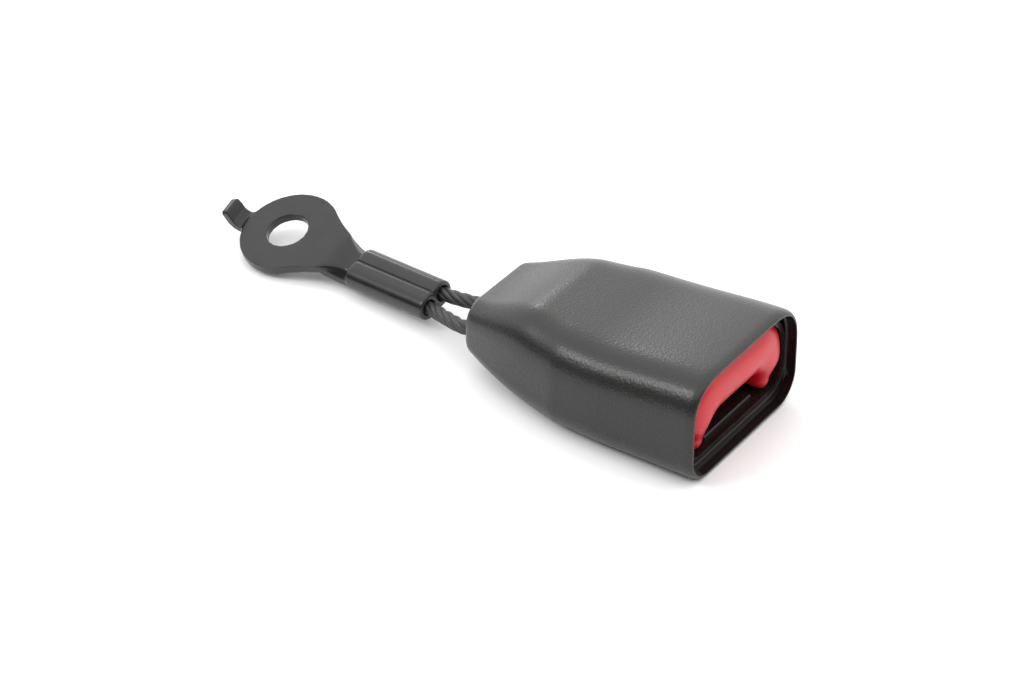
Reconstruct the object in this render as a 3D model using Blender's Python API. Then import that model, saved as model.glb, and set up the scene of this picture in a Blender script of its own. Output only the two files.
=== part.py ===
"""Seat belt buckle on a stiff wire rope, with its crimped anchor plate.

Metres, +Z up. +X runs along the buckle to the mouth, +Y to its left side.
The origin is the centre of the boot's flat underside.
"""
from math import asin, atan2, cos, pi, radians, sin, sqrt, tau

import bmesh
import bpy
from mathutils import Matrix, Vector

# Clearances
GAP = 0.0003            # between pieces that touch
RUN = 0.0004            # between pieces that slide

# Boot
BOOT_LENGTH = 0.073
BOOT_WIDTH = 0.050
BOOT_HEIGHT = 0.0292
BOOT_TOP_DROP = 0.0022      # fall of the roof from the mouth to the middle
BOOT_TAIL_START = 0.0410    # distance from the mouth where the sides draw in
BOOT_LIFT_START = 0.0440    # distance from the mouth where the underside lifts
BOOT_TAIL_WIDTH = 0.0290
BOOT_TAIL_BASE = 0.0056     # height of the underside at the rear end
BOOT_TAIL_TOP = 0.0203      # height of the roof at the rear end
BOOT_TOP_RADIUS = 0.0135
BOOT_BASE_RADIUS = 0.0085
BOOT_TAIL_TOP_RADIUS = 0.0060
BOOT_TAIL_BASE_RADIUS = 0.0050
BOOT_WAIST = 0.0014         # how far the sides ease in before the tail
BOOT_RIM_RADIUS = 0.0024
BOOT_RIM_INSET = 0.0010
BOOT_TAIL_RADIUS = 0.0016
BOOT_SIDE = 0.0018
BOOT_ROOF = 0.0017
BOOT_FLOOR = 0.0032
BOOT_TAIL_FLOOR = 0.0018
EXIT_WIDTH = 0.0224
EXIT_HEIGHT = 0.0080
EXIT_SIDE_SHIFT = -0.0003

# Housing halves inside the boot
HOUSING_WALL = 0.0015
HOUSING_SETBACK = 0.0028
HOUSING_LENGTH = 0.0460
SPLIT_HEIGHT = 0.0131
PLATFORM_WIDTH = 0.0215
PLATFORM_RISE = 0.0012
PLATFORM_SETBACK = 0.0020

# Steel frame
SHEET = 0.0020
FRAME_WIDTH = 0.0330
FRAME_FRONT = 0.0210        # front end, from the origin
FRAME_REAR = -0.0150        # where the side walls end
FRAME_BEND = 0.0024
WALL_TOP = 0.0195
WALL_FRONT_TOP = 0.0135
TAIL_END = -0.0305
TAIL_WIDTH = 0.0190
TAIL_STEP = 0.0014
TONGUE_THICKNESS = 0.0030
TONGUE_WIDTH = 0.0240
TOOTH_HOLE_LENGTH = 0.0085
SPRING_TAB_WIDTH = 0.0060
SPRING_TAB_HEIGHT = 0.0048

# Latch
PIVOT_X = -0.0070
LATCH_THICKNESS = 0.0025
LATCH_LIFT = radians(18.5)
LATCH_REACH = 0.0175
LATCH_WIDTH = 0.0160
LATCH_HUB_RADIUS = 0.0029
LATCH_OPENING = 0.0148      # between the hub's two eyes
TOOTH_LENGTH = 0.0030
TOOTH_DEPTH = 0.0008        # how far the tooth enters the frame's base
SHOULDER_START = 0.0095
SHOULDER_LENGTH = 0.0045
SHOULDER_RISE = 0.0019
LATCH_PIN_RADIUS = 0.0015
LATCH_PIN_END = 0.0012      # pin beyond each clip
CLIP_THICKNESS = 0.0006
CLIP_RADIUS = 0.0023
CLIP_OPENING = radians(70.0)

# Lock pin, carried by the button's arms
LOCK_PIN_RADIUS = 0.00125
LOCK_PIN_X = -0.0020

# Ejector
EJECTOR_FRONT = 0.0150
EJECTOR_REAR = 0.0040
EJECTOR_HEIGHT = 0.0035
EJECTOR_STEP_X = 0.0073     # the body is low behind this, to pass under the latch's hub
EJECTOR_STEP_HEIGHT = 0.0018
EJECTOR_TRAVEL = 0.0110
EJECTOR_SEAT_X = 0.0078
EJECTOR_CHANNEL = 0.0052
RAMP_SLOPE = 0.60

# Button
BUTTON_RECESS = 0.0013
BUTTON_TRAVEL = 0.0050
BUTTON_DEPTH = 0.0080
BUTTON_CROWN = 0.0050
BUTTON_BAR = 0.0102         # height of the bar over the slot
BUTTON_LEG = 0.0056         # width of a leg
BUTTON_LEG_GAP = 0.0026     # from a leg's foot to the housing floor
BUTTON_FOOT = 0.0017        # rounding under each leg
BUTTON_LEG_TAPER = 0.0025   # how far a leg's outer edge draws in at its foot
BUTTON_SLOT_RADIUS = 0.0075
ARM_THICKNESS = 0.0012
ARM_HEIGHT = 0.0044
ARM_CHAMFER = 0.0010
ARM_END = 0.0026            # arm behind the lock pin's centre

# Springs
SPRING_WIRE = 0.00032
BUTTON_SPRING_RADIUS = 0.00160
BUTTON_SPRING_HEIGHT = 0.0102
BUTTON_SPRING_TURNS = 9
SPRING_STOP_X = 0.0040
SPRING_STOP_THICKNESS = 0.0020
EJECTOR_SPRING_RADIUS = 0.00130
EJECTOR_SPRING_TURNS = 11
SPRING_POST_RADIUS = 0.00065
TORSION_RADIUS = 0.0026
TORSION_TURNS = 4
TORSION_PITCH = 0.00095
TORSION_Y = 0.0045
SPRING_SIDES = 5
SPRING_STEPS = 10           # per turn

# Saddle, rivet and washer at the frame's tail
SADDLE_X = -0.0240
SADDLE_BEND = 0.0060        # radius of the rope's centre line
SADDLE_FLANGE = 0.0008
SADDLE_FLANGE_RADIUS = 0.0066
RIVET_RADIUS = 0.0023
RIVET_HEAD_RADIUS = 0.0040
RIVET_HEAD_HEIGHT = 0.0015
WASHER_RADIUS = 0.0052
WASHER_THICKNESS = 0.0008

# Wire rope
ROPE_RADIUS = 0.0019
ROPE_VALLEY = 0.00164
ROPE_STRANDS = 6
ROPE_LAY = 0.022
ROPE_STEP = 0.0013

# Anchor plate, in its own plane: x to the crimp, z off its upper face
PLATE_THICKNESS = 0.0024
BOLT_HOLE_RADIUS = 0.00565
HEAD_RADIUS = 0.0135
HEAD_SHIFT = 0.0005         # head's centre from the bolt hole's
BOLT_HOLE_X = -0.10661
BOLT_HOLE_Y = 0.00464
BOLT_HOLE_Z = 0.00766
PLATE_PITCH = radians(2.84)
PLATE_YAW = radians(-6.20)
PLATE_LEAN = radians(17.85)
CRIMP_START = 0.0258
CRIMP_LENGTH = 0.0256
CRIMP_DEPTH = 0.00333       # crimp's centre below the plate's upper face
LOBE_RADIUS = 0.0034
LOBE_OFFSET = 0.0028
SEAM_WIDTH = 0.0003
NECK_START = 0.0055         # where the neck leaves the round head
TAB_WIDTH = 0.0061
TAB_NECK = 0.0030
TAB_RISE = 0.0048
TAB_LEAN = radians(20.0)
TAB_ANGLE = radians(188.0)
TAB_THICKNESS = 0.0022

# Derived places
MOUTH_X = BOOT_LENGTH / 2
REAR_X = -BOOT_LENGTH / 2
HOUSING_FLOOR = BOOT_FLOOR + GAP + HOUSING_WALL
BASE_LOW = HOUSING_FLOOR + GAP
BASE_TOP = BASE_LOW + SHEET
TAIL_TOP = BASE_TOP + TAIL_STEP
WALL_IN = FRAME_WIDTH / 2 - SHEET
TONGUE_TOP = BASE_TOP + GAP + TONGUE_THICKNESS
PIVOT_Z = TONGUE_TOP + 0.0007 + LATCH_THICKNESS / 2
LOCK_PIN_Z = PIVOT_Z + LATCH_THICKNESS / 2 + SHOULDER_RISE + GAP + LOCK_PIN_RADIUS
BUTTON_FRONT = MOUTH_X - BUTTON_RECESS
BUTTON_BACK = BUTTON_FRONT - BUTTON_DEPTH
SADDLE_CORE = SADDLE_BEND - ROPE_RADIUS - GAP
SADDLE_LOW = TAIL_TOP + GAP
ROPE_Z = SADDLE_LOW + SADDLE_FLANGE + GAP + ROPE_RADIUS
SADDLE_HIGH = ROPE_Z + ROPE_RADIUS + GAP + SADDLE_FLANGE
ROPE_BORE = ROPE_RADIUS + GAP


def clear_scene():
    for old in list(bpy.data.objects):
        bpy.data.objects.remove(old, do_unlink=True)


def material(name, color, roughness, metallic=0.0):
    """A Principled material with the part's colour, roughness and metallic value."""
    made = bpy.data.materials.new(name)
    made.use_nodes = True
    shader = made.node_tree.nodes["Principled BSDF"]
    shader.inputs["Base Color"].default_value = (*color, 1.0)
    shader.inputs["Roughness"].default_value = roughness
    shader.inputs["Metallic"].default_value = metallic
    made.diffuse_color = (*color, 1.0)
    return made


def add_object(name, points, faces, finish=None, smooth=30.0):
    """An object from points and faces, with its faces turned outward."""
    mesh = bpy.data.meshes.new(name)
    mesh.from_pydata([tuple(p) for p in points], [], faces)
    work = bmesh.new()
    work.from_mesh(mesh)
    bmesh.ops.recalc_face_normals(work, faces=work.faces)
    work.to_mesh(mesh)
    work.free()
    if finish:
        mesh.materials.append(finish)
    mesh.shade_smooth()
    mesh.set_sharp_from_angle(angle=radians(smooth))
    made = bpy.data.objects.new(name, mesh)
    bpy.context.scene.collection.objects.link(made)
    return made


def hide_tool(tool):
    tool.hide_render = True
    tool.display_type = "WIRE"
    return tool


def combine(target, tool, operation):
    """A Boolean of target with a hidden tool object."""
    hide_tool(tool)
    change = target.modifiers.new(tool.name, "BOOLEAN")
    change.operation = operation
    change.solver = "EXACT"
    change.object = tool
    return change


def loft(rings, ends="fan"):
    """Points and faces of a skin over rings of equal count.

    ends: "fan" closes both ends with one face, "loop" joins the last ring to
    the first, "strip" closes each end of a folded ring with quads.
    """
    count = len(rings[0])
    points = [p for ring in rings for p in ring]
    faces = []
    spans = len(rings) if ends == "loop" else len(rings) - 1
    for i in range(spans):
        a = i * count
        b = ((i + 1) % len(rings)) * count
        for j in range(count):
            k = (j + 1) % count
            faces.append((a + j, a + k, b + k, b + j))
    last = (len(rings) - 1) * count
    if ends == "fan":
        faces.append(tuple(range(count)))
        faces.append(tuple(range(last, last + count)))
    if ends == "strip":
        for base in (0, last):
            for j in range(count // 2 - 1):
                far = count - 1 - j
                faces.append((base + j, base + j + 1, base + far - 1, base + far))
    return points, faces


def prism(outline, low, high, place):
    """An outline of 2-D points pushed from low to high; place turns (u, v, w) into x, y, z."""
    rings = [[place(u, v, w) for u, v in outline] for w in (low, high)]
    return loft(rings)


def flat(u, v, w):
    return (u, v, w)


def side_view(u, v, w):
    return (u, w, v)


def arc(cx, cy, radius, start, sweep, steps):
    """Points on an arc, both ends included."""
    return [
        (cx + radius * cos(start + sweep * i / steps), cy + radius * sin(start + sweep * i / steps))
        for i in range(steps + 1)
    ]


def tube_x(radius, x0, x1, y, z, sides=16):
    """A cylinder along X."""
    circle = arc(0, 0, radius, 0, tau * (sides - 1) / sides, sides - 1)
    return loft([[(x, y + u, z + v) for u, v in circle] for x in (x0, x1)])


def tube_y(radius, y0, y1, x, z, sides=20):
    """A cylinder along Y."""
    circle = arc(0, 0, radius, 0, tau * (sides - 1) / sides, sides - 1)
    return loft([[(x + u, y, z + v) for u, v in circle] for y in (y0, y1)])


def box(x0, x1, y0, y1, z0, z1):
    return prism([(x0, y0), (x1, y0), (x1, y1), (x0, y1)], z0, z1, flat)


def merge(*parts):
    """Several point and face lists as one."""
    points = []
    faces = []
    for more, these in parts:
        base = len(points)
        points += list(more)
        faces += [tuple(i + base for i in face) for face in these]
    return points, faces


def ease(value, low, high):
    """0 below low, 1 above high, and a smooth rise between."""
    t = min(max((value - low) / (high - low), 0.0), 1.0)
    return t * t * (3 - 2 * t)


def mix(a, b, t):
    return a + (b - a) * t


def turned(profile, x, y, steps=28):
    """A solid turned about a vertical axis from (radius, height) points.

    A profile that starts and ends on the axis closes there; any other is a ring.
    """
    solid = profile[0][0] == 0 and profile[-1][0] == 0
    inner = profile[1:-1] if solid else profile
    rings = [
        [(x + r * cos(tau * i / steps), y + r * sin(tau * i / steps), z) for i in range(steps)]
        for r, z in inner
    ]
    points, faces = loft(rings, "none" if solid else "loop")
    if solid:
        top = len(points)
        points += [(x, y, profile[0][1]), (x, y, profile[-1][1])]
        last = (len(rings) - 1) * steps
        for i in range(steps):
            k = (i + 1) % steps
            faces.append((top, i, k))
            faces.append((top + 1, last + i, last + k))
    return points, faces


def coil(centre, axis, start_dir, radius, wire, turns, length):
    """Centre line of a helix with a flat closed turn at each end."""
    axis = Vector(axis).normalized()
    u = Vector(start_dir).normalized()
    v = axis.cross(u)
    total = int(turns * SPRING_STEPS)
    closed = SPRING_STEPS
    free = total - 2 * closed
    rise = (length - 2 * wire - 2 * 2.1 * wire) / free
    line = []
    along = wire
    for i in range(total + 1):
        a = tau * i / SPRING_STEPS
        line.append(Vector(centre) + axis * along + radius * (cos(a) * u + sin(a) * v))
        if i < closed or i >= total - closed:
            along += 2.1 * wire / closed
        else:
            along += rise
    return line


def sweep_wire(line, radius, sides=SPRING_SIDES):
    """A round wire along a line, carried without twist, with flat ends."""
    rings = []
    normal = None
    for i, p in enumerate(line):
        a = line[max(i - 1, 0)]
        b = line[min(i + 1, len(line) - 1)]
        t = (b - a).normalized()
        if normal is None:
            normal = t.orthogonal().normalized()
        normal = (normal - t * normal.dot(t)).normalized()
        side = t.cross(normal)
        rings.append([
            p + radius * (cos(tau * k / sides) * normal + sin(tau * k / sides) * side)
            for k in range(sides)
        ])
    return loft(rings)


# Boot form

def boot_size(x):
    """Half width, underside, roof and corner radii of the boot's outside at x."""
    back = MOUTH_X - x
    tail = max(0.0, (back - BOOT_TAIL_START) / (BOOT_LENGTH - BOOT_TAIL_START))
    draw = 0.30 * tail * tail + 0.70 * tail
    waist = ease(back, BOOT_TAIL_START - 0.016, BOOT_TAIL_START + 0.012)
    half = mix(BOOT_WIDTH / 2, BOOT_TAIL_WIDTH / 2, draw)
    half -= BOOT_WAIST * waist * (1 - tail)
    low = BOOT_TAIL_BASE * ease(back, BOOT_LIFT_START, BOOT_LENGTH + 0.016) / ease(
        BOOT_LENGTH, BOOT_LIFT_START, BOOT_LENGTH + 0.016)
    roof = BOOT_HEIGHT - BOOT_TOP_DROP * ease(back, 0.0, 0.034)
    fall = ease(back, 0.69 * BOOT_LENGTH, 1.03 * BOOT_LENGTH)
    fall /= ease(BOOT_LENGTH, 0.69 * BOOT_LENGTH, 1.03 * BOOT_LENGTH)
    roof -= (BOOT_HEIGHT - BOOT_TOP_DROP - BOOT_TAIL_TOP) * fall
    late = ease(back, BOOT_TAIL_START, BOOT_LENGTH)
    top = mix(BOOT_TOP_RADIUS, BOOT_TAIL_TOP_RADIUS, late)
    base = mix(BOOT_BASE_RADIUS, BOOT_TAIL_BASE_RADIUS, late)
    return half, low, roof, top, base


def rounded(x, half, low, roof, top, base, shift=0.0, steps=6):
    """A ring at x: a rectangle with its upper and lower corners rounded."""
    top = min(top, half * 0.98, (roof - low) * 0.60)
    base = min(base, half * 0.98, roof - low - top)
    ring = arc(half - top, roof - top, top, 0, pi / 2, steps)
    ring += arc(-half + top, roof - top, top, pi / 2, pi / 2, steps)
    ring += arc(-half + base, low + base, base, pi, pi / 2, steps - 1)
    ring += arc(half - base, low + base, base, 3 * pi / 2, pi / 2, steps - 1)
    return [(x, y + shift, z) for y, z in ring]


def boot_ring(x, inset=0.0):
    half, low, roof, top, base = boot_size(x)
    return rounded(x, half - inset, low + inset, roof - inset, max(top - inset, 0.0006),
                   max(base - inset, 0.0006))


def cavity_size(x, more=0.0):
    """The boot's hollow at x, made smaller by more on every side."""
    half, low, roof, top, base = boot_size(x)
    floor = mix(BOOT_FLOOR, BOOT_TAIL_FLOOR, ease(-x, 0.008, 0.030))
    side = BOOT_SIDE + more
    return (half - side, low + floor + more, roof - BOOT_ROOF - more,
            max(top - side, 0.0006), max(base - side, 0.0012))


def make_boot(finish):
    """One moulded sleeve: outside, rounded rear end, rope exit, hollow and front rim."""
    rings = [boot_ring(MOUTH_X, BOOT_RIM_INSET)]
    for i in range(1, 4):
        a = radians(90) * i / 3
        rings.append(boot_ring(MOUTH_X - BOOT_RIM_RADIUS * (1 - cos(a)),
                               BOOT_RIM_INSET * (1 - sin(a))))
    start = MOUTH_X - BOOT_RIM_RADIUS
    stop = REAR_X + BOOT_TAIL_RADIUS
    for i in range(1, 15):
        rings.append(boot_ring(mix(start, stop, i / 14)))
    for i in range(1, 4):
        a = radians(90) * i / 3
        rings.append(boot_ring(stop - BOOT_TAIL_RADIUS * sin(a),
                               BOOT_TAIL_RADIUS * (1 - cos(a))))
    exit_half = EXIT_WIDTH / 2
    exit_low = BOOT_TAIL_BASE + BOOT_TAIL_FLOOR
    exit_ring = (exit_half, exit_low, exit_low + EXIT_HEIGHT, 0.0034, 0.0034, EXIT_SIDE_SHIFT)
    rings.append(rounded(REAR_X, *exit_ring))
    rings.append(rounded(REAR_X + BOOT_TAIL_RADIUS, *exit_ring))
    first = REAR_X + BOOT_TAIL_RADIUS + 0.0006
    for i in range(11):
        x = mix(first, MOUTH_X - 0.0006, i / 10)
        rings.append(rounded(x, *cavity_size(x)))
    half, low, roof, top, base = cavity_size(MOUTH_X)
    flare = 0.0003
    rings.append(rounded(MOUTH_X, half + flare, low - flare, roof + flare, top, base))
    return add_object("boot_sleeve", *loft(rings, "loop"), finish, 40)


# Housing halves

def half_shell(x0, x1, upper, stations=9):
    """One half of the housing between two places along X."""
    rings = []
    for i in range(stations):
        x = mix(x0, x1, i / (stations - 1))
        path = []
        for more in (GAP, GAP + HOUSING_WALL):
            half, low, roof, top, base = cavity_size(x, more)
            if upper:
                line = [(half, SPLIT_HEIGHT + GAP / 2)]
                line += arc(half - top, roof - top, top, 0, pi / 2, 5)
                line += arc(-half + top, roof - top, top, pi / 2, pi / 2, 5)
                line += [(-half, SPLIT_HEIGHT + GAP / 2)]
            else:
                line = [(-half, SPLIT_HEIGHT - GAP / 2)]
                line += arc(-half + base, low + base, base, pi, pi / 2, 4)
                line += arc(half - base, low + base, base, 3 * pi / 2, pi / 2, 4)
                line += [(half, SPLIT_HEIGHT - GAP / 2)]
            path.append(line)
        rings.append([(x, y, z) for y, z in path[0] + path[1][::-1]])
    return loft(rings, "strip")


def make_housing(finish):
    front = MOUTH_X - HOUSING_SETBACK
    rear = front - HOUSING_LENGTH
    lower = add_object("lower_housing", *half_shell(rear, front, False), finish, 40)
    upper = add_object("upper_housing", *half_shell(rear, front, True), finish, 40)
    # Raised floor that leads the tongue up to the frame
    lead = FRAME_FRONT + GAP
    edge = front - PLATFORM_SETBACK
    sunk = HOUSING_FLOOR - HOUSING_WALL / 2
    rise = HOUSING_FLOOR + PLATFORM_RISE
    ramp = [(lead, sunk), (edge, sunk), (edge, rise - 0.0003), (edge - 0.0004, rise),
            (lead + 0.004, rise), (lead, BASE_TOP - 0.0002)]
    tool = add_object("platform_tool", *prism(ramp, -PLATFORM_WIDTH / 2, PLATFORM_WIDTH / 2,
                                              side_view))
    combine(lower, tool, "UNION")
    # Ribs that stop the button springs, each with a nub inside its spring
    for name, side in (("right", -1), ("left", 1)):
        x1 = SPRING_STOP_X
        x0 = x1 - SPRING_STOP_THICKNESS
        half = cavity_size(x0, GAP)[0]
        inner = FRAME_WIDTH / 2 + GAP
        outer = half - HOUSING_WALL / 2
        top = BUTTON_SPRING_HEIGHT + 0.0026
        shape = [(inner, sunk), (outer - 0.0035, sunk), (outer, sunk + 0.0035), (outer, top), (inner, top)]
        rib = loft([[(x, side * y, z) for y, z in shape] for x in (x0, x1)])
        combine(lower, add_object("rib_tool_" + name, *rib), "UNION")
        nub = tube_x(0.0010, x0 + 0.0005, x1 + 0.0025, side * spring_y(), BUTTON_SPRING_HEIGHT, 10)
        combine(lower, add_object("nub_tool_" + name, *nub), "UNION")
    return lower, upper


# Steel frame

def wall_top(x):
    """Height of the frame's side walls at x."""
    return mix(WALL_TOP, WALL_FRONT_TOP, ease(x, 0.001, 0.012))


def make_frame(finish):
    """Bent sheet: a channel with a stepped tail, a tooth hole and a raised spring tab."""
    rings = []
    xs = [FRAME_REAR, FRAME_REAR + 0.0012, 0.001, 0.004, 0.0065, 0.009, 0.012, FRAME_FRONT - 0.003,
          FRAME_FRONT]
    for i, x in enumerate(xs):
        high = wall_top(x)
        if i == 0:
            high -= 0.0012
        if i == len(xs) - 1:
            high -= 0.0025
        outer = FRAME_WIDTH / 2
        bend = FRAME_BEND
        line = [(-outer, high)] + arc(-outer + bend, BASE_LOW + bend, bend, pi, pi / 2, 3)
        line += arc(outer - bend, BASE_LOW + bend, bend, 3 * pi / 2, pi / 2, 3) + [(outer, high)]
        tight = bend - SHEET
        back = [(-WALL_IN, high)] + arc(-WALL_IN + tight, BASE_TOP + tight, tight, pi, pi / 2, 3)
        back += arc(WALL_IN - tight, BASE_TOP + tight, tight, 3 * pi / 2, pi / 2, 3)
        back += [(WALL_IN, high)]
        rings.append([(x, y, z) for y, z in line + back[::-1]])
    frame = add_object("buckle_frame", *loft(rings, "strip"), finish)
    # Stepped tail, drawn in to a round end
    rows = []
    tail_half = TAIL_WIDTH / 2
    straight = TAIL_END + tail_half * 0.7
    for i in range(13):
        x = mix(FRAME_REAR + 0.0015, TAIL_END, i / 12)
        lift = TAIL_STEP * ease(-x, -FRAME_REAR + 0.0002, -FRAME_REAR + 0.0034)
        half = mix(FRAME_WIDTH / 2 - FRAME_BEND, tail_half, ease(-x, -FRAME_REAR, -FRAME_REAR + 0.004))
        if x < straight:
            t = (straight - x) / (straight - TAIL_END)
            half = tail_half * sqrt(max(1 - 0.75 * t * t, 0.0))
        rows.append([(x, -half, BASE_LOW + lift), (x, half, BASE_LOW + lift),
                     (x, half, BASE_TOP + lift), (x, -half, BASE_TOP + lift)])
    combine(frame, add_object("tail_tool", *loft(rows)), "UNION")
    # Spring tab bent up from the base
    tab_x = tab_front()
    half = SPRING_TAB_WIDTH / 2
    top = BASE_TOP + SPRING_TAB_HEIGHT
    shape = [(-half, BASE_LOW + 0.0003), (half, BASE_LOW + 0.0003), (half, top - 0.001),
             (half - 0.001, top), (-half + 0.001, top), (-half, top - 0.001)]
    tab = loft([[(x, y, z) for y, z in shape] for x in (tab_x - 0.0016, tab_x)])
    combine(frame, add_object("tab_tool", *tab), "UNION")
    post = tube_x(SPRING_POST_RADIUS, tab_x - 0.0008, tab_x + 0.0022, 0.0, ejector_spring_z(), 10)
    combine(frame, add_object("post_tool", *post), "UNION")
    # Holes
    low = latch_point(LATCH_REACH - TOOTH_LENGTH / 2, 0.0, 0.0)
    hole = box(low[0] - TOOTH_HOLE_LENGTH / 2, low[0] + TOOTH_HOLE_LENGTH / 2, -LATCH_WIDTH / 2 - 0.001,
               LATCH_WIDTH / 2 + 0.001, BASE_LOW - 0.001, BASE_TOP + 0.001)
    combine(frame, add_object("tooth_hole_tool", *hole), "DIFFERENCE")
    wide = FRAME_WIDTH / 2 + 0.001
    pin = tube_y(LATCH_PIN_RADIUS + GAP, -wide, wide, PIVOT_X, PIVOT_Z, 16)
    combine(frame, add_object("pivot_hole_tool", *pin), "DIFFERENCE")
    slot_r = LOCK_PIN_RADIUS + RUN
    slot = arc(LOCK_PIN_X, LOCK_PIN_Z, slot_r, -pi / 2, pi, 6)
    slot += arc(LOCK_PIN_X - BUTTON_TRAVEL - 0.0004, LOCK_PIN_Z, slot_r, pi / 2, pi, 6)
    combine(frame, add_object("slot_tool", *prism(slot, -wide, wide, side_view)), "DIFFERENCE")
    rivet = turned([(0, BASE_LOW - 0.001), (RIVET_RADIUS + GAP, BASE_LOW - 0.001),
                    (RIVET_RADIUS + GAP, TAIL_TOP + 0.001), (0, TAIL_TOP + 0.001)], SADDLE_X, 0, 20)
    combine(frame, add_object("rivet_hole_tool", *rivet), "DIFFERENCE")
    return frame


# Latch

def latch_point(reach, rise, turn):
    """A point of the latch, given along and above its arm, with the latch lifted by turn."""
    x = reach * cos(turn) - rise * sin(turn)
    z = reach * sin(turn) + rise * cos(turn)
    return PIVOT_X + x, PIVOT_Z + z


def make_latch(finish):
    """A pressed pawl: two hub eyes, an arm with a lock shoulder, and the tooth."""
    t = LATCH_THICKNESS / 2
    tooth_low = -(PIVOT_Z - BASE_TOP) - TOOTH_DEPTH
    a = atan2(t, LATCH_HUB_RADIUS)
    outline = arc(0, 0, LATCH_HUB_RADIUS, a, tau - 2 * a, 12)
    outline += [
        (LATCH_REACH - TOOTH_LENGTH - 0.0006, -t),
        (LATCH_REACH - TOOTH_LENGTH, -t - 0.0006),
        (LATCH_REACH - TOOTH_LENGTH, tooth_low),
        (LATCH_REACH - 0.0008, tooth_low),
        (LATCH_REACH, tooth_low + 0.0010),
        (LATCH_REACH, t - 0.0008),
        (LATCH_REACH - 0.0008, t),
        (SHOULDER_START + SHOULDER_LENGTH, t),
        (SHOULDER_START + SHOULDER_LENGTH - 0.0005, t + SHOULDER_RISE),
        (SHOULDER_START, t + SHOULDER_RISE),
        (SHOULDER_START, t),
    ]
    width = WALL_IN - GAP
    latch = add_object("latch_plate", *prism(outline, -width, width, side_view), finish)
    latch.location = (PIVOT_X, 0, PIVOT_Z)
    latch.rotation_euler = (0, -LATCH_LIFT, 0)
    cuts = [tube_y(LATCH_PIN_RADIUS + GAP, -width - 0.001, width + 0.001, 0, 0, 16)]
    open_half = LATCH_OPENING / 2
    cuts.append(box(-LATCH_HUB_RADIUS - 0.001, LATCH_HUB_RADIUS + 0.0008, -open_half, open_half,
                    -LATCH_HUB_RADIUS - 0.001, LATCH_HUB_RADIUS + 0.001))
    for side in (-1, 1):
        ys = sorted((side * LATCH_WIDTH / 2, side * (width + 0.001)))
        cuts.append(box(0.0080, LATCH_REACH + 0.001, ys[0], ys[1], tooth_low - 0.001, 0.006))
    for i, cut in enumerate(cuts):
        tool = add_object(f"latch_cut_tool_{i}", *cut)
        tool.location = latch.location
        tool.rotation_euler = latch.rotation_euler
        combine(latch, tool, "DIFFERENCE")
    return latch


def make_latch_pin(finish):
    half = FRAME_WIDTH / 2 + GAP + CLIP_THICKNESS + LATCH_PIN_END
    points, faces = loft([
        [(u, y, v) for u, v in arc(0, 0, r, 0, tau * 15 / 16, 15)]
        for y, r in ((-half, LATCH_PIN_RADIUS - 0.0003), (-half + 0.0003, LATCH_PIN_RADIUS),
                     (half - 0.0003, LATCH_PIN_RADIUS), (half, LATCH_PIN_RADIUS - 0.0003))
    ])
    pin = add_object("latch_pin", points, faces, finish)
    pin.location = (PIVOT_X, 0, PIVOT_Z)
    return pin


def make_pin_clips(finish):
    """A retaining clip on each end of the latch pin, outside the frame."""
    inner = LATCH_PIN_RADIUS + 0.0002
    start = -pi / 2 + CLIP_OPENING / 2
    sweep = tau - CLIP_OPENING
    outline = arc(0, 0, CLIP_RADIUS, start, sweep, 16)
    outline += arc(0, 0, inner, start + sweep, -sweep, 16)
    for name, side in (("right", -1), ("left", 1)):
        near = side * (FRAME_WIDTH / 2 + GAP)
        ys = sorted((near, near + side * CLIP_THICKNESS))
        rings = [[(u, y, v) for u, v in outline] for y in ys]
        clip = add_object("pin_clip_" + name, *loft(rings), finish)
        clip.location = (PIVOT_X, 0, PIVOT_Z)


def make_lock_pin(finish):
    half = FRAME_WIDTH / 2 + GAP + ARM_THICKNESS - 0.0002
    points, faces = loft([
        [(u, y, v) for u, v in arc(0, 0, r, 0, tau * 13 / 14, 13)]
        for y, r in ((-half, LOCK_PIN_RADIUS - 0.0003), (-half + 0.0003, LOCK_PIN_RADIUS),
                     (half - 0.0003, LOCK_PIN_RADIUS), (half, LOCK_PIN_RADIUS - 0.0003))
    ])
    pin = add_object("lock_pin", points, faces, finish)
    pin.location = (LOCK_PIN_X, 0, LOCK_PIN_Z)
    return pin


# Ejector

def tab_front():
    return FRAME_REAR + 0.0018


def ejector_spring_z():
    return BASE_TOP + GAP + EJECTOR_SPRING_RADIUS + SPRING_WIRE


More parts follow.
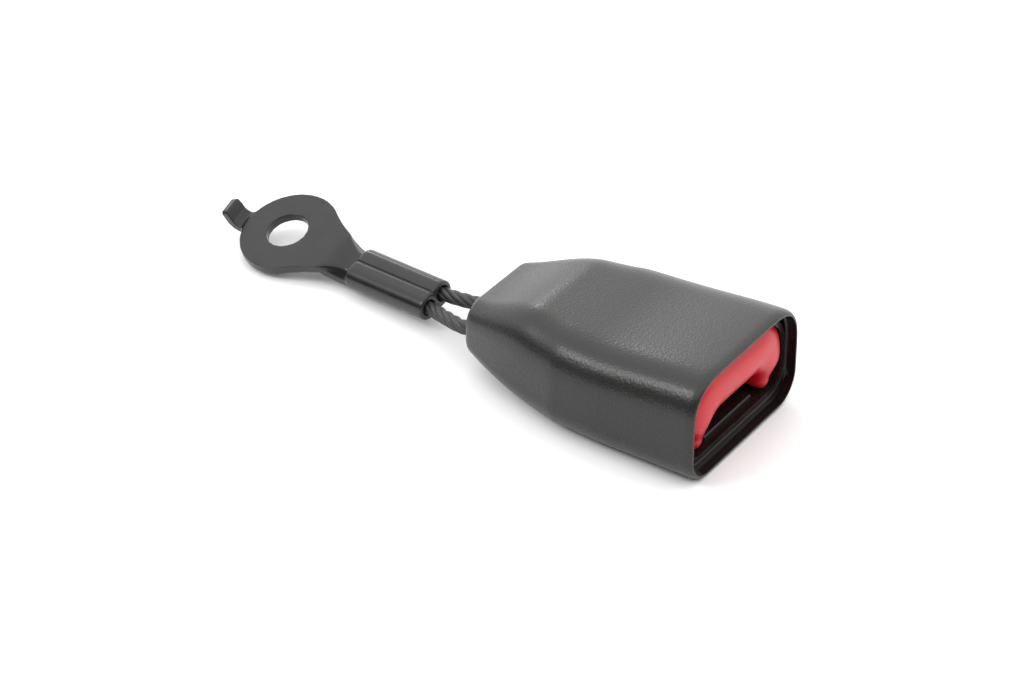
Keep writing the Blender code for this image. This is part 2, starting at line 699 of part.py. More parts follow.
def make_ejector(finish):
    """A moulded slide: it pushes the tongue out and props the latch on its ramp."""
    half = WALL_IN - RUN
    slot = EJECTOR_CHANNEL / 2
    outline = [
        (EJECTOR_FRONT, -half), (EJECTOR_FRONT, half), (EJECTOR_REAR + 0.001, half),
        (EJECTOR_REAR, half - 0.001), (EJECTOR_REAR, slot), (EJECTOR_SEAT_X, slot),
        (EJECTOR_SEAT_X, -slot), (EJECTOR_REAR, -slot), (EJECTOR_REAR, -half + 0.001),
        (EJECTOR_REAR + 0.001, -half),
    ]
    low = BASE_TOP + GAP
    high = low + EJECTOR_HEIGHT
    body = add_object("ejector", *prism(outline, low, high, flat), finish)
    heel = latch_point(LATCH_REACH - TOOTH_LENGTH, -(PIVOT_Z - BASE_TOP) - TOOTH_DEPTH, LATCH_LIFT)
    start = heel[0] - 0.0004
    end = EJECTOR_FRONT + 0.001
    wedge = [(start, high), (end, high - RAMP_SLOPE * (end - start)), (end, high + 0.001),
             (start, high + 0.001)]
    reach = LATCH_WIDTH / 2 + 0.0006
    combine(body, add_object("ramp_tool", *prism(wedge, -reach, reach, side_view)), "DIFFERENCE")
    step = box(EJECTOR_REAR - 0.001, EJECTOR_STEP_X, -half - 0.001, half + 0.001,
               low + EJECTOR_STEP_HEIGHT, high + 0.001)
    combine(body, add_object("step_tool", *step), "DIFFERENCE")
    post = tube_x(SPRING_POST_RADIUS, EJECTOR_SEAT_X - 0.0022, EJECTOR_SEAT_X + 0.0008, 0.0,
                  ejector_spring_z(), 10)
    combine(body, add_object("seat_tool", *post), "UNION")
    return body


# Button

def spring_y():
    return FRAME_WIDTH / 2 + GAP + BUTTON_SPRING_RADIUS + SPRING_WIRE


def button_curves(x, steps=5):
    """Outer and inner edges of the arch at x, as matching (y, z) lists.

    The arch fits the housing where x ends up when the button is pressed in.
    """
    half, low, roof, top, base = cavity_size(x - BUTTON_TRAVEL, GAP + HOUSING_WALL + RUN)
    foot = HOUSING_FLOOR + BUTTON_LEG_GAP
    inner_half = half - BUTTON_LEG
    inner_top = roof - BUTTON_BAR
    radius = BUTTON_SLOT_RADIUS
    outer = [(half - BUTTON_LEG_TAPER * (1 - i / 4) ** 2, mix(foot, roof - top, i / 4))
             for i in range(4)]
    outer += arc(half - top, roof - top, top, 0, pi / 2, steps + 2)
    outer += [((half - top) * (1 - i / 3), roof) for i in range(1, 3)]
    start = asin((foot - inner_top + radius) / radius)
    inner = arc(inner_half - radius, inner_top - radius, radius, start, pi / 2 - start, steps + 6)
    inner += [((inner_half - radius) * (1 - i / 3), inner_top) for i in range(1, 3)]
    outer += [(0.0, roof)] + [(-y, z) for y, z in outer[::-1]]
    inner += [(0.0, inner_top)] + [(-y, z) for y, z in inner[::-1]]
    return outer, inner


def make_button(finish):
    """A domed arch over the tongue slot, with two arms back along the frame."""
    outer, inner = button_curves(BUTTON_FRONT)
    back_outer = button_curves(BUTTON_BACK)[0]
    count = len(outer)
    across = 9
    rings = []
    for i in range(count):
        o = Vector(outer[i])
        n = Vector(inner[i])
        ring = []
        for j in range(across):
            v = 0.5 - 0.5 * cos(pi * j / (across - 1))
            s = abs(2 * v - 1)
            crown = BUTTON_CROWN * (1 - (1 - s ** 2.3) ** (1 / 2.3)) * (0.62 if v < 0.5 else 1.0)
            p = o.lerp(n, v)
            ring.append((BUTTON_FRONT - crown, p.x, p.y))
        ring += [(BUTTON_BACK, n.x, n.y), (BUTTON_BACK, *back_outer[i])]
        rings.append(ring)
    # Rounded feet
    feet = []
    for end in (0, count - 1):
        more = []
        for k in (1, 2, 3):
            a = radians(90) * k / 3
            shrink = 1 - 0.72 * (1 - cos(a))
            drop = BUTTON_FOOT * sin(a)
            base = rings[end]
            mid_y = sum(p[1] for p in base) / len(base)
            mid_x = BUTTON_BACK + 0.35 * (BUTTON_FRONT - BUTTON_BACK)
            more.append([(mix(mid_x, x, mix(1, shrink, 0.6)), mix(mid_y, y, shrink), z - drop)
                         for x, y, z in base])
        feet.append(more)
    rings = feet[0][::-1] + rings + feet[1]
    button = add_object("press_button", *loft(rings), finish, 50)
    # Arms with an eye for the lock pin, and a nub in front of each spring
    inner_y = FRAME_WIDTH / 2 + GAP
    tall = ARM_HEIGHT / 2
    end_x = LOCK_PIN_X - ARM_END
    stations = [(end_x, tall - 0.0016), (end_x + 0.0016, tall), (BUTTON_BACK + 0.0010, tall)]
    for name, side in (("right", -1), ("left", 1)):
        outer_y = inner_y + ARM_THICKNESS
        arm = loft([
            [(x, side * y, LOCK_PIN_Z + z) for y, z in (
                (inner_y, -h), (outer_y, -h), (outer_y, h - ARM_CHAMFER),
                (outer_y - ARM_CHAMFER * 0.8, h), (inner_y, h))]
            for x, h in stations
        ])
        combine(button, add_object("arm_tool_" + name, *arm), "UNION")
        nub = tube_x(0.0010, BUTTON_BACK - 0.0028, BUTTON_BACK + 0.0010, side * spring_y(),
                     BUTTON_SPRING_HEIGHT, 10)
        combine(button, add_object("button_nub_tool_" + name, *nub), "UNION")
    wide = inner_y + ARM_THICKNESS + 0.001
    eye = tube_y(LOCK_PIN_RADIUS + 0.0002, -wide, wide, LOCK_PIN_X, LOCK_PIN_Z, 14)
    combine(button, add_object("eye_tool", *eye), "DIFFERENCE")
    return button


# Springs

def make_springs(finish):
    for name, side in (("right", -1), ("left", 1)):
        start = SPRING_STOP_X + 0.0001
        length = BUTTON_BACK - 0.0001 - start
        line = coil((start, side * spring_y(), BUTTON_SPRING_HEIGHT), (1, 0, 0), (0, 0, 1),
                    BUTTON_SPRING_RADIUS, SPRING_WIRE, BUTTON_SPRING_TURNS, length)
        add_object("button_spring_" + name, *sweep_wire(line, SPRING_WIRE), finish, 60)
    start = tab_front() + 0.0001
    length = EJECTOR_SEAT_X - 0.0001 - start
    line = coil((start, 0, ejector_spring_z()), (1, 0, 0), (0, 0, 1), EJECTOR_SPRING_RADIUS,
                SPRING_WIRE, EJECTOR_SPRING_TURNS, length)
    add_object("ejector_spring", *sweep_wire(line, SPRING_WIRE), finish, 60)
    # Torsion spring round the latch pin: one leg on the arm, one on the frame's base
    half = TORSION_PITCH * TORSION_TURNS / 2
    line = []
    top_leg = Vector(latch_point(0.0048, LATCH_THICKNESS / 2 + SPRING_WIRE + 0.0001, LATCH_LIFT))
    turn0 = radians(110)
    steps = TORSION_TURNS * SPRING_STEPS
    first = Vector((PIVOT_X + TORSION_RADIUS * cos(turn0), PIVOT_Z + TORSION_RADIUS * sin(turn0)))
    edge = TORSION_Y - half
    line.append(Vector((top_leg.x, edge - 0.0004, top_leg.y)))
    line.append(Vector(((top_leg.x + first.x) / 2, edge - 0.0002, (top_leg.y + first.y) / 2)))
    for i in range(steps + 4):
        a = turn0 + tau * i / SPRING_STEPS
        line.append(Vector((PIVOT_X + TORSION_RADIUS * cos(a), edge + TORSION_PITCH * i / SPRING_STEPS,
                            PIVOT_Z + TORSION_RADIUS * sin(a))))
    last = line[-1]
    foot = Vector((last.x - 0.0006, last.y + 0.0003, BASE_TOP + SPRING_WIRE + 0.0002))
    line.append((last + foot) / 2)
    line.append(foot)
    add_object("latch_spring", *sweep_wire(line, SPRING_WIRE), finish, 60)


# Saddle, rivet and washer

def make_saddle(finish, steel):
    bore = RIVET_RADIUS + GAP
    groove = [
        (SADDLE_CORE + (SADDLE_FLANGE_RADIUS - SADDLE_CORE) * (1 - sin(pi * (0.12 + 0.76 * i / 8))),
         mix(SADDLE_LOW + SADDLE_FLANGE, SADDLE_HIGH - SADDLE_FLANGE, i / 8))
        for i in range(9)
    ]
    groove = [
        (SADDLE_BEND - sqrt(max((ROPE_RADIUS + GAP) ** 2 - (z - ROPE_Z) ** 2, 0.0)), z)
        for r, z in groove
    ]
    profile = [(bore, SADDLE_LOW), (SADDLE_FLANGE_RADIUS - 0.0003, SADDLE_LOW),
               (SADDLE_FLANGE_RADIUS, SADDLE_LOW + 0.0003)]
    profile += [(min(r, SADDLE_FLANGE_RADIUS - 0.0002), z) for r, z in groove]
    profile += [(SADDLE_FLANGE_RADIUS, SADDLE_HIGH - 0.0003),
                (SADDLE_FLANGE_RADIUS - 0.0003, SADDLE_HIGH), (bore, SADDLE_HIGH)]
    add_object("rope_saddle", *turned(profile, SADDLE_X, 0, 32), finish, 40)
    low = SADDLE_HIGH + GAP
    washer = [(bore, low), (WASHER_RADIUS, low), (WASHER_RADIUS, low + WASHER_THICKNESS),
              (bore, low + WASHER_THICKNESS)]
    add_object("rivet_washer", *turned(washer, SADDLE_X, 0, 28), steel, 40)
    foot = BASE_LOW + TAIL_STEP - GAP
    top = low + WASHER_THICKNESS + GAP
    shank = [(0, foot - RIVET_HEAD_HEIGHT * 0.6), (RIVET_HEAD_RADIUS * 0.8, foot - RIVET_HEAD_HEIGHT * 0.6),
             (RIVET_HEAD_RADIUS, foot - RIVET_HEAD_HEIGHT * 0.3), (RIVET_HEAD_RADIUS, foot),
             (RIVET_RADIUS, foot), (RIVET_RADIUS, top)]
    shank += [(RIVET_HEAD_RADIUS * cos(a), top + RIVET_HEAD_HEIGHT * sin(a))
              for a in (0, radians(35), radians(65))]
    shank += [(0, top + RIVET_HEAD_HEIGHT)]
    add_object("saddle_rivet", *turned(shank, SADDLE_X, 0, 24), steel, 40)


# Wire rope

def plate_frame():
    """The anchor plate's own axes in the part: columns to the crimp, across it and off it."""
    along = Vector((cos(PLATE_PITCH) * cos(PLATE_YAW), cos(PLATE_PITCH) * sin(PLATE_YAW),
                    sin(PLATE_PITCH)))
    level = Vector((0, 0, 1)).cross(along).normalized()
    up = along.cross(level)
    across = level * cos(PLATE_LEAN) + up * sin(PLATE_LEAN)
    normal = along.cross(across)
    turn = Matrix((along, across, normal)).transposed().to_4x4()
    return Matrix.Translation((BOLT_HOLE_X, BOLT_HOLE_Y, BOLT_HOLE_Z)) @ turn


def smooth_path(points, step):
    """A centripetal curve through the points, at even steps."""
    fine = []
    ends = [points[0] * 2 - points[1]] + points + [points[-1] * 2 - points[-2]]
    for i in range(1, len(ends) - 2):
        a, b, c, d = ends[i - 1:i + 3]
        ta = 0.0
        tb = ta + sqrt((b - a).length)
        tc = tb + sqrt((c - b).length)
        td = tc + sqrt((d - c).length)
        for k in range(24):
            t = mix(tb, tc, k / 24)
            ab = a * ((tb - t) / (tb - ta)) + b * ((t - ta) / (tb - ta))
            bc = b * ((tc - t) / (tc - tb)) + c * ((t - tb) / (tc - tb))
            cd = c * ((td - t) / (td - tc)) + d * ((t - tc) / (td - tc))
            abc = ab * ((tc - t) / (tc - ta)) + bc * ((t - ta) / (tc - ta))
            bcd = bc * ((td - t) / (td - tb)) + cd * ((t - tb) / (td - tb))
            fine.append(abc * ((tc - t) / (tc - tb)) + bcd * ((t - tb) / (tc - tb)))
    fine.append(points[-1])
    even = [fine[0]]
    left = step
    for a, b in zip(fine, fine[1:]):
        span = (b - a).length
        done = 0.0
        while span - done >= left:
            done += left
            even.append(a.lerp(b, done / span))
            left = step
        left -= span - done
    if (even[-1] - fine[-1]).length < step * 0.5:
        even.pop()
    even.append(fine[-1])
    return even


def rope_points():
    """Route of the rope: out of one lobe, round the saddle and back into the other."""
    plate = plate_frame()
    end = CRIMP_START + 0.0022
    front = CRIMP_START + CRIMP_LENGTH
    right = [plate @ Vector((x, -LOBE_OFFSET, -CRIMP_DEPTH)) for x in (end, end + 0.008, front - 0.006, front)]
    left = [plate @ Vector((x, LOBE_OFFSET, -CRIMP_DEPTH)) for x in (end, end + 0.008, front - 0.006, front)]
    right += [Vector((-0.0478, -0.0060, 0.0079)), Vector((-0.0400, -0.0086, 0.0095)),
              Vector((-0.0320, -0.0074, 0.0113))]
    left += [Vector((-0.0478, 0.0017, 0.0092)), Vector((-0.0400, 0.0018, 0.0103)),
             Vector((-0.0320, 0.0042, 0.0115))]
    bend = [
        Vector((SADDLE_X + SADDLE_BEND * sin(a), -SADDLE_BEND * cos(a), ROPE_Z))
        for a in (radians(10 + 20 * i) for i in range(9))
    ]
    return right + bend + left[::-1]


def make_rope(finish):
    """Six strands laid round each other as one turning, lobed section."""
    line = smooth_path(rope_points(), ROPE_STEP)
    count = ROPE_STRANDS * 2
    rings = []
    normal = None
    run = 0.0
    for i, p in enumerate(line):
        a = line[max(i - 1, 0)]
        b = line[min(i + 1, len(line) - 1)]
        t = (b - a).normalized()
        if normal is None:
            normal = t.orthogonal().normalized()
        normal = (normal - t * normal.dot(t)).normalized()
        side = t.cross(normal)
        twist = tau * run / ROPE_LAY
        ring = []
        for k in range(count):
            r = ROPE_RADIUS if k % 2 == 0 else ROPE_VALLEY
            c = twist + tau * k / count
            ring.append(p + r * (cos(c) * normal + sin(c) * side))
        rings.append(ring)
        if i < len(line) - 1:
            run += (line[i + 1] - p).length
    return add_object("wire_rope", *loft(rings), finish, 20)


# Anchor plate

def neck_half(x):
    """Half width of the sheet from the head to the crimp, on a curve that leaves the round head
    along its own tangent.
    """
    across = sqrt(HEAD_RADIUS ** 2 - (NECK_START - HEAD_SHIFT) ** 2)
    slope = -(NECK_START - HEAD_SHIFT) / across
    narrow = LOBE_OFFSET + LOBE_RADIUS - 0.0001
    span = CRIMP_START - 0.0006 - NECK_START
    t = min(max((x - NECK_START) / span, 0.0), 1.0)
    return (mix(across, narrow, t * t * (3 - 2 * t)) + (t ** 3 - 2 * t * t + t) * span * slope)


def sheet_drop(x, y):
    """How far the sheet is pressed down at a point of the neck."""
    flat_half = mix(0.0125, 0.0026, ease(x, 0.0075, CRIMP_START - 0.002))
    edge = neck_half(x) + 0.0002
    flank = 0.0036 * ease(x, 0.0085, CRIMP_START - 0.003) * ease(abs(y), flat_half, max(edge, flat_half + 0.001))
    crown = 0.0012 * ease(x, 0.0175, CRIMP_START + 0.001)
    return flank + crown


def head_reach(a):
    """Distance from the bolt hole's centre to the sheet's outline in direction a."""
    x = cos(a)
    y = sin(a)
    round_part = HEAD_SHIFT * x + sqrt(HEAD_RADIUS ** 2 - (HEAD_SHIFT * y) ** 2)
    end = CRIMP_START + 0.0014
    if x < 0.5:
        return round_part
    reach = round_part
    for i in range(400):
        r = round_part + 0.0001 * i
        if r * x > end or (r * x > NECK_START and abs(r * y) > neck_half(r * x)):
            break
        reach = r
    return reach


def make_anchor(finish):
    """Stamped head with its bolt hole and tab, pressed neck and B-shaped crimp, in one piece."""
    plate = plate_frame()
    angles = [tau * i / 44 for i in range(44)]
    fine = [radians(d) for d in (2.5, 5, 7, 9, 11, 13, 15.5, 18.5, 22, 26, 30, 34, 39, 45, 51)]
    angles = [a for a in angles if radians(53) < a < tau - radians(53)]
    angles = sorted([0.0] + fine + [tau - a for a in fine] + angles)
    rings = []
    rows = 8
    for a in angles:
        far = head_reach(a)
        top = []
        for j in range(rows):
            r = mix(BOLT_HOLE_RADIUS, far, j / (rows - 1))
            x = r * cos(a)
            y = r * sin(a)
            top.append((x, y, -sheet_drop(x, y)))
        low = [(x, y, z - PLATE_THICKNESS) for x, y, z in top]
        rings.append([plate @ Vector(p) for p in top + low[::-1]])
    anchor = add_object("anchor_plate", *loft(rings, "loop"), finish, 35)
    combine(anchor, make_crimp_form(plate), "UNION")
    combine(anchor, make_tab_form(plate), "UNION")
    # Two rope bores, the seam between the curls and the notch where it starts
    front = CRIMP_START + CRIMP_LENGTH + 0.001
    bores = [tube_x(ROPE_BORE, CRIMP_START + 0.0018, front, side * LOBE_OFFSET, -CRIMP_DEPTH, 18)
             for side in (-1, 1)]
    seam = box(CRIMP_START - 0.001, front, -SEAM_WIDTH / 2, SEAM_WIDTH / 2,
               -CRIMP_DEPTH - LOBE_RADIUS + 0.0016, 0.002)
    for i, cut in enumerate(bores + [seam]):
        tool = add_object(f"crimp_cut_tool_{i}", [plate @ Vector(p) for p in cut[0]], cut[1])
        combine(anchor, tool, "DIFFERENCE")
    return anchor


def crimp_ring(x, radius, offset, plate):
    """The B-shaped outline of the crimp at x, as points in the part."""
    valley = atan2(sqrt(max(radius ** 2 - offset ** 2, 1e-9)), -offset)
    ring = [(offset + u, v) for u, v in arc(0, 0, radius, valley - 0.02, -(valley + pi / 2 - 0.02), 11)]
    ring += [(-y, z) for y, z in ring[::-1]]
    return [plate @ Vector((x, y, z - CRIMP_DEPTH)) for y, z in ring]


def make_crimp_form(plate):
    """Outside of the crimp, with the curls rounded over at their rear ends."""
    rings = []
    for i in range(4):
        a = radians(90) * i / 3
        rings.append(crimp_ring(CRIMP_START - 0.0006 + 0.0018 * (1 - cos(a)),
                                LOBE_RADIUS - 0.0012 * (1 - sin(a)) - 0.0002, LOBE_OFFSET - 0.0001, plate))
    end = CRIMP_START + CRIMP_LENGTH
    rings.append(crimp_ring(end - 0.0003, LOBE_RADIUS, LOBE_OFFSET, plate))
    rings.append(crimp_ring(end, LOBE_RADIUS - 0.0003, LOBE_OFFSET - 0.0001, plate))
    return add_object("crimp_tool", *loft(rings))


def make_tab_form(plate):
    """The locating tab at the head's tip, bent up off the plate."""
    reach = HEAD_RADIUS - HEAD_SHIFT
    bend = 0.0022
    thick = TAB_THICKNESS
    line = [(reach - 0.0015, 0.0), (reach + TAB_NECK - bend, 0.0)]
    sweep = radians(90) - TAB_LEAN
    for i in range(1, 5):
        a = sweep * i / 4
        line.append((reach + TAB_NECK - bend + bend * sin(a), bend * (1 - cos(a))))
    last = line[-1]
    more = TAB_RISE - bend * (1 - cos(sweep))
    line.append((last[0] + more * cos(sweep), last[1] + more * sin(sweep)))
    across = Matrix.Rotation(TAB_ANGLE, 4, "Z")
    rings = []
    for i, (u, v) in enumerate(line):
        a = line[max(i - 1, 0)]
        b = line[min(i + 1, len(line) - 1)]
        t = Vector((b[0] - a[0], b[1] - a[1])).normalized()
        n = Vector((t.y, -t.x))
        half = TAB_WIDTH / 2 - (0.0007 if i == len(line) - 1 else 0.0)
        if i == 0:
            half += 0.0012
        deep = Vector((u, v)) + n * thick
        rings.append([(u, -half, v), (u, half, v), (deep.x, half, deep.y), (deep.x, -half, deep.y)])
    place = plate @ across @ Matrix.Translation((0, 0, -0.0001))
    return add_object("tab_tool_end", *loft([[place @ Vector(p) for p in ring] for ring in rings]))


def main():
    clear_scene()
    grained = material("grained_black", (0.055, 0.052, 0.050), 0.55)
    gloss = material("gloss_black", (0.020, 0.014, 0.013), 0.25)
    red = material("button_red", (0.60, 0.012, 0.020), 0.38)
    zinc = material("zinc_steel", (0.55, 0.55, 0.56), 0.35, 1.0)
    spring = material("spring_steel", (0.42, 0.42, 0.44), 0.30, 1.0)
    coated = material("black_steel", (0.045, 0.045, 0.046), 0.40, 0.3)
    rope = material("black_rope", (0.030, 0.030, 0.031), 0.42, 0.3)
    slide = material("white_acetal", (0.72, 0.71, 0.67), 0.40)
    make_boot(grained)
    make_housing(gloss)
    make_frame(zinc)
    make_latch(zinc)
    make_latch_pin(spring)
    make_pin_clips(spring)
    make_lock_pin(spring)
    make_ejector(slide)
    make_button(red)
    make_springs(spring)
    make_saddle(zinc, spring)
    make_rope(rope)
    make_anchor(coated)


main()
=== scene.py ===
# %% [markdown]
# # A seat belt buckle on a wire rope
#
# This lesson dresses the solid model of a seat belt buckle. The buckle is a grained black boot with
# a red button in its mouth, a stiff black wire rope, and a stamped anchor plate. The solids are
# loaded first, because they fix every size. Each piece that shows is then made finer, and each
# finish is built from nodes.

# %% Load the solids
from math import asin, cos, degrees, pi, radians, sin, sqrt, tau

import bmesh
import bpy
from mathutils import Matrix, Vector


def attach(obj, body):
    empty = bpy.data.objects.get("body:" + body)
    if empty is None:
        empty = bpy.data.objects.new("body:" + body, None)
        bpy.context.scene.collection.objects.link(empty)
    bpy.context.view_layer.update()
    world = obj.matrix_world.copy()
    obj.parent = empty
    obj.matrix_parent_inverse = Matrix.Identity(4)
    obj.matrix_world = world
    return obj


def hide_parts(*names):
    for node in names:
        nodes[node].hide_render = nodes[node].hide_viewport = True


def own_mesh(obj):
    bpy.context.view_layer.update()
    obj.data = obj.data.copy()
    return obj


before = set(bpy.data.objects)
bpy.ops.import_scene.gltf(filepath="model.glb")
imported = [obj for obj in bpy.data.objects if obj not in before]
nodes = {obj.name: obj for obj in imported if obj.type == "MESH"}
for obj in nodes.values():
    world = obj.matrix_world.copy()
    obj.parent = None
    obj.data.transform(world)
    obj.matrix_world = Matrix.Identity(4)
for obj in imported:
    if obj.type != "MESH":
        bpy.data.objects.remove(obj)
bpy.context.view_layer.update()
print("solids:", len(nodes))

# %% [markdown]
# ## Camera
#
# A camera that stands far off with a long lens keeps the boot's sides almost parallel, as in a
# catalogue picture. Its place was found by fitting the boot's edges and the bolt hole. The camera's
# own axes are its right, its up and the way back from what it sees, so they are written as columns.

# %% Camera
CAMERA_PLACE = Vector((0.37023, -0.58705, 0.48731))
CAMERA_AZIMUTH = radians(34.41)
CAMERA_HEIGHT_ANGLE = radians(34.21)

right = Vector((cos(CAMERA_AZIMUTH), sin(CAMERA_AZIMUTH), 0))
back = Vector((
    sin(CAMERA_AZIMUTH) * cos(CAMERA_HEIGHT_ANGLE),
    -cos(CAMERA_AZIMUTH) * cos(CAMERA_HEIGHT_ANGLE),
    sin(CAMERA_HEIGHT_ANGLE),
))
up = back.cross(right)
lens = bpy.data.cameras.new("camera")
lens.lens = 120
lens.sensor_width = 36
lens.clip_end = 20
camera = bpy.data.objects.new("camera", lens)
bpy.context.scene.collection.objects.link(camera)
turn = Matrix((right, up, back)).transposed().to_4x4()
camera.matrix_world = Matrix.Translation(CAMERA_PLACE) @ turn
bpy.context.scene.camera = camera
print("camera stands", round(CAMERA_PLACE.length, 3), "m away")

# %% [markdown]
# ## Helpers
#
# Most pieces here are skins over rings of points, and every finish is a small node tree. Two cells
# of short helpers keep the ones below about the piece and not about Blender's calls. A ring skin is
# easy to make finer: more rings and more points follow the same rule.

# %% Mesh helpers
def mix(a, b, t):
    return a + (b - a) * t


def ease(value, low, high):
    """0 below low, 1 above high, and a smooth rise between."""
    t = min(max((value - low) / (high - low), 0.0), 1.0)
    return t * t * (3 - 2 * t)


def arc(cx, cy, radius, start, sweep, steps):
    return [
        (cx + radius * cos(start + sweep * i / steps), cy + radius * sin(start + sweep * i / steps))
        for i in range(steps + 1)
    ]


def skin(rings, closed=False):
    """Points and faces over rings; closed joins the last ring to the first."""
    count = len(rings[0])
    points = [tuple(p) for ring in rings for p in ring]
    faces = []
    for i in range(len(rings) if closed else len(rings) - 1):
        a = i * count
        b = ((i + 1) % len(rings)) * count
        for j in range(count):
            k = (j + 1) % count
            faces.append((a + j, a + k, b + k, b + j))
    if not closed:
        last = (len(rings) - 1) * count
        faces.append(tuple(range(count)))
        faces.append(tuple(range(last, last + count)))
    return points, faces


def place_object(name, data):
    made = bpy.data.objects.new(name, data)
    bpy.context.scene.collection.objects.link(made)
    return made


def paint(obj, finish):
    obj.data.materials.clear()
    obj.data.materials.append(finish)


def mesh_object(name, points, faces, sharp=40):
    mesh = bpy.data.meshes.new(name)
    mesh.from_pydata(points, [], faces)
    work = bmesh.new()
    work.from_mesh(mesh)
    bmesh.ops.recalc_face_normals(work, faces=work.faces)
    work.to_mesh(mesh)
    work.free()
    mesh.shade_smooth()
    mesh.set_sharp_from_angle(angle=radians(sharp))
    return place_object(name, mesh)


def plain_copy(obj, name, sharp=40):
    """The evaluated shape as a plain mesh object; the working object goes."""
    bpy.context.view_layer.update()
    graph = bpy.context.evaluated_depsgraph_get()
    mesh = bpy.data.meshes.new_from_object(obj.evaluated_get(graph))
    mesh.name = name
    mesh.shade_smooth()
    mesh.set_sharp_from_angle(angle=radians(sharp))
    made = place_object(name, mesh)
    bpy.data.objects.remove(obj, do_unlink=True)
    return made


def cut_or_join(target, tool, operation):
    change = target.modifiers.new(tool.name, "BOOLEAN")
    change.operation = operation
    change.solver = "EXACT"
    change.object = tool


def tube_shape(radius, x0, x1, y, z, sides=40):
    circle = arc(0, 0, radius, 0, tau * (sides - 1) / sides, sides - 1)
    return skin([[(x, y + u, z + v) for u, v in circle] for x in (x0, x1)])


# %% Node helpers
def finish_named(name, color, roughness, metallic=0.0, specular=0.5):
    """A material whose constants sit on the shader's own sockets."""
    made = bpy.data.materials.new(name)
    made.use_nodes = True
    shader = made.node_tree.nodes["Principled BSDF"]
    shader.inputs["Base Color"].default_value = (*color, 1)
    shader.inputs["Roughness"].default_value = roughness
    shader.inputs["Metallic"].default_value = metallic
    shader.inputs["Specular IOR Level"].default_value = specular
    return made, made.node_tree, shader


def add_node(tree, kind, **values):
    made = tree.nodes.new(kind)
    for key, value in values.items():
        setattr(made, key, value)
    return made


def noise(tree, where, scale, detail=2.0, rough=0.5):
    made = add_node(tree, "ShaderNodeTexNoise")
    made.inputs["Scale"].default_value = scale
    made.inputs["Detail"].default_value = detail
    made.inputs["Roughness"].default_value = rough
    tree.links.new(where, made.inputs["Vector"])
    return made.outputs["Fac"]


def spread(tree, value, low, high, to_low, to_high):
    made = add_node(tree, "ShaderNodeMapRange")
    for name, number in (("From Min", low), ("From Max", high), ("To Min", to_low), ("To Max", to_high)):
        made.inputs[name].default_value = number
    tree.links.new(value, made.inputs["Value"])
    return made.outputs["Result"]


def blend_colors(tree, factor, first, second):
    made = add_node(tree, "ShaderNodeMix", data_type="RGBA")
    tree.links.new(factor, made.inputs[0])
    for socket, color in ((made.inputs[6], first), (made.inputs[7], second)):
        if hasattr(color, "links"):
            tree.links.new(color, socket)
        else:
            socket.default_value = (*color, 1)
    return made.outputs[2]


def bump(tree, shader, height, strength, depth):
    made = add_node(tree, "ShaderNodeBump")
    made.inputs["Strength"].default_value = strength
    made.inputs["Distance"].default_value = depth
    tree.links.new(height, made.inputs["Height"])
    tree.links.new(made.outputs["Normal"], shader.inputs["Normal"])


def object_place(tree):
    return add_node(tree, "ShaderNodeTexCoord").outputs["Object"]


def uneven(tree, shader, pattern, dark, pale, smooth, rough):
    """Colour and roughness that both follow one slow pattern."""
    tree.links.new(blend_colors(tree, pattern, dark, pale), shader.inputs["Base Color"])
    tree.links.new(spread(tree, pattern, 0.3, 0.7, smooth, rough), shader.inputs["Roughness"])


# %% [markdown]
# ## Grained black of the boot
#
# The boot is a soft moulding with a fine leather-like grain that sparkles where light grazes it. The
# grain could be modelled, but cells of half a millimetre are far cheaper as bump. Voronoi cells give
# the pebbles, noise breaks them up, and a slow noise makes the black a little uneven, as worn
# mouldings are. Inside the mouth the moulding is smoother and browner, and a number on the mesh says
# where that is.

# %% Boot finish
GRAIN_CELLS = 1700
GRAIN_BREAK = 2600
GRAIN_MIX = 0.5
GRAIN_STRENGTH = 0.34
GRAIN_DEPTH = 0.00012
GRAIN_INSIDE = 0.1
SHINE_OUTSIDE = 0.42
SHINE_INSIDE = 0.22
SMOOTHER_INSIDE = -0.10
MOUTH_BROWN = (0.010, 0.006, 0.006)


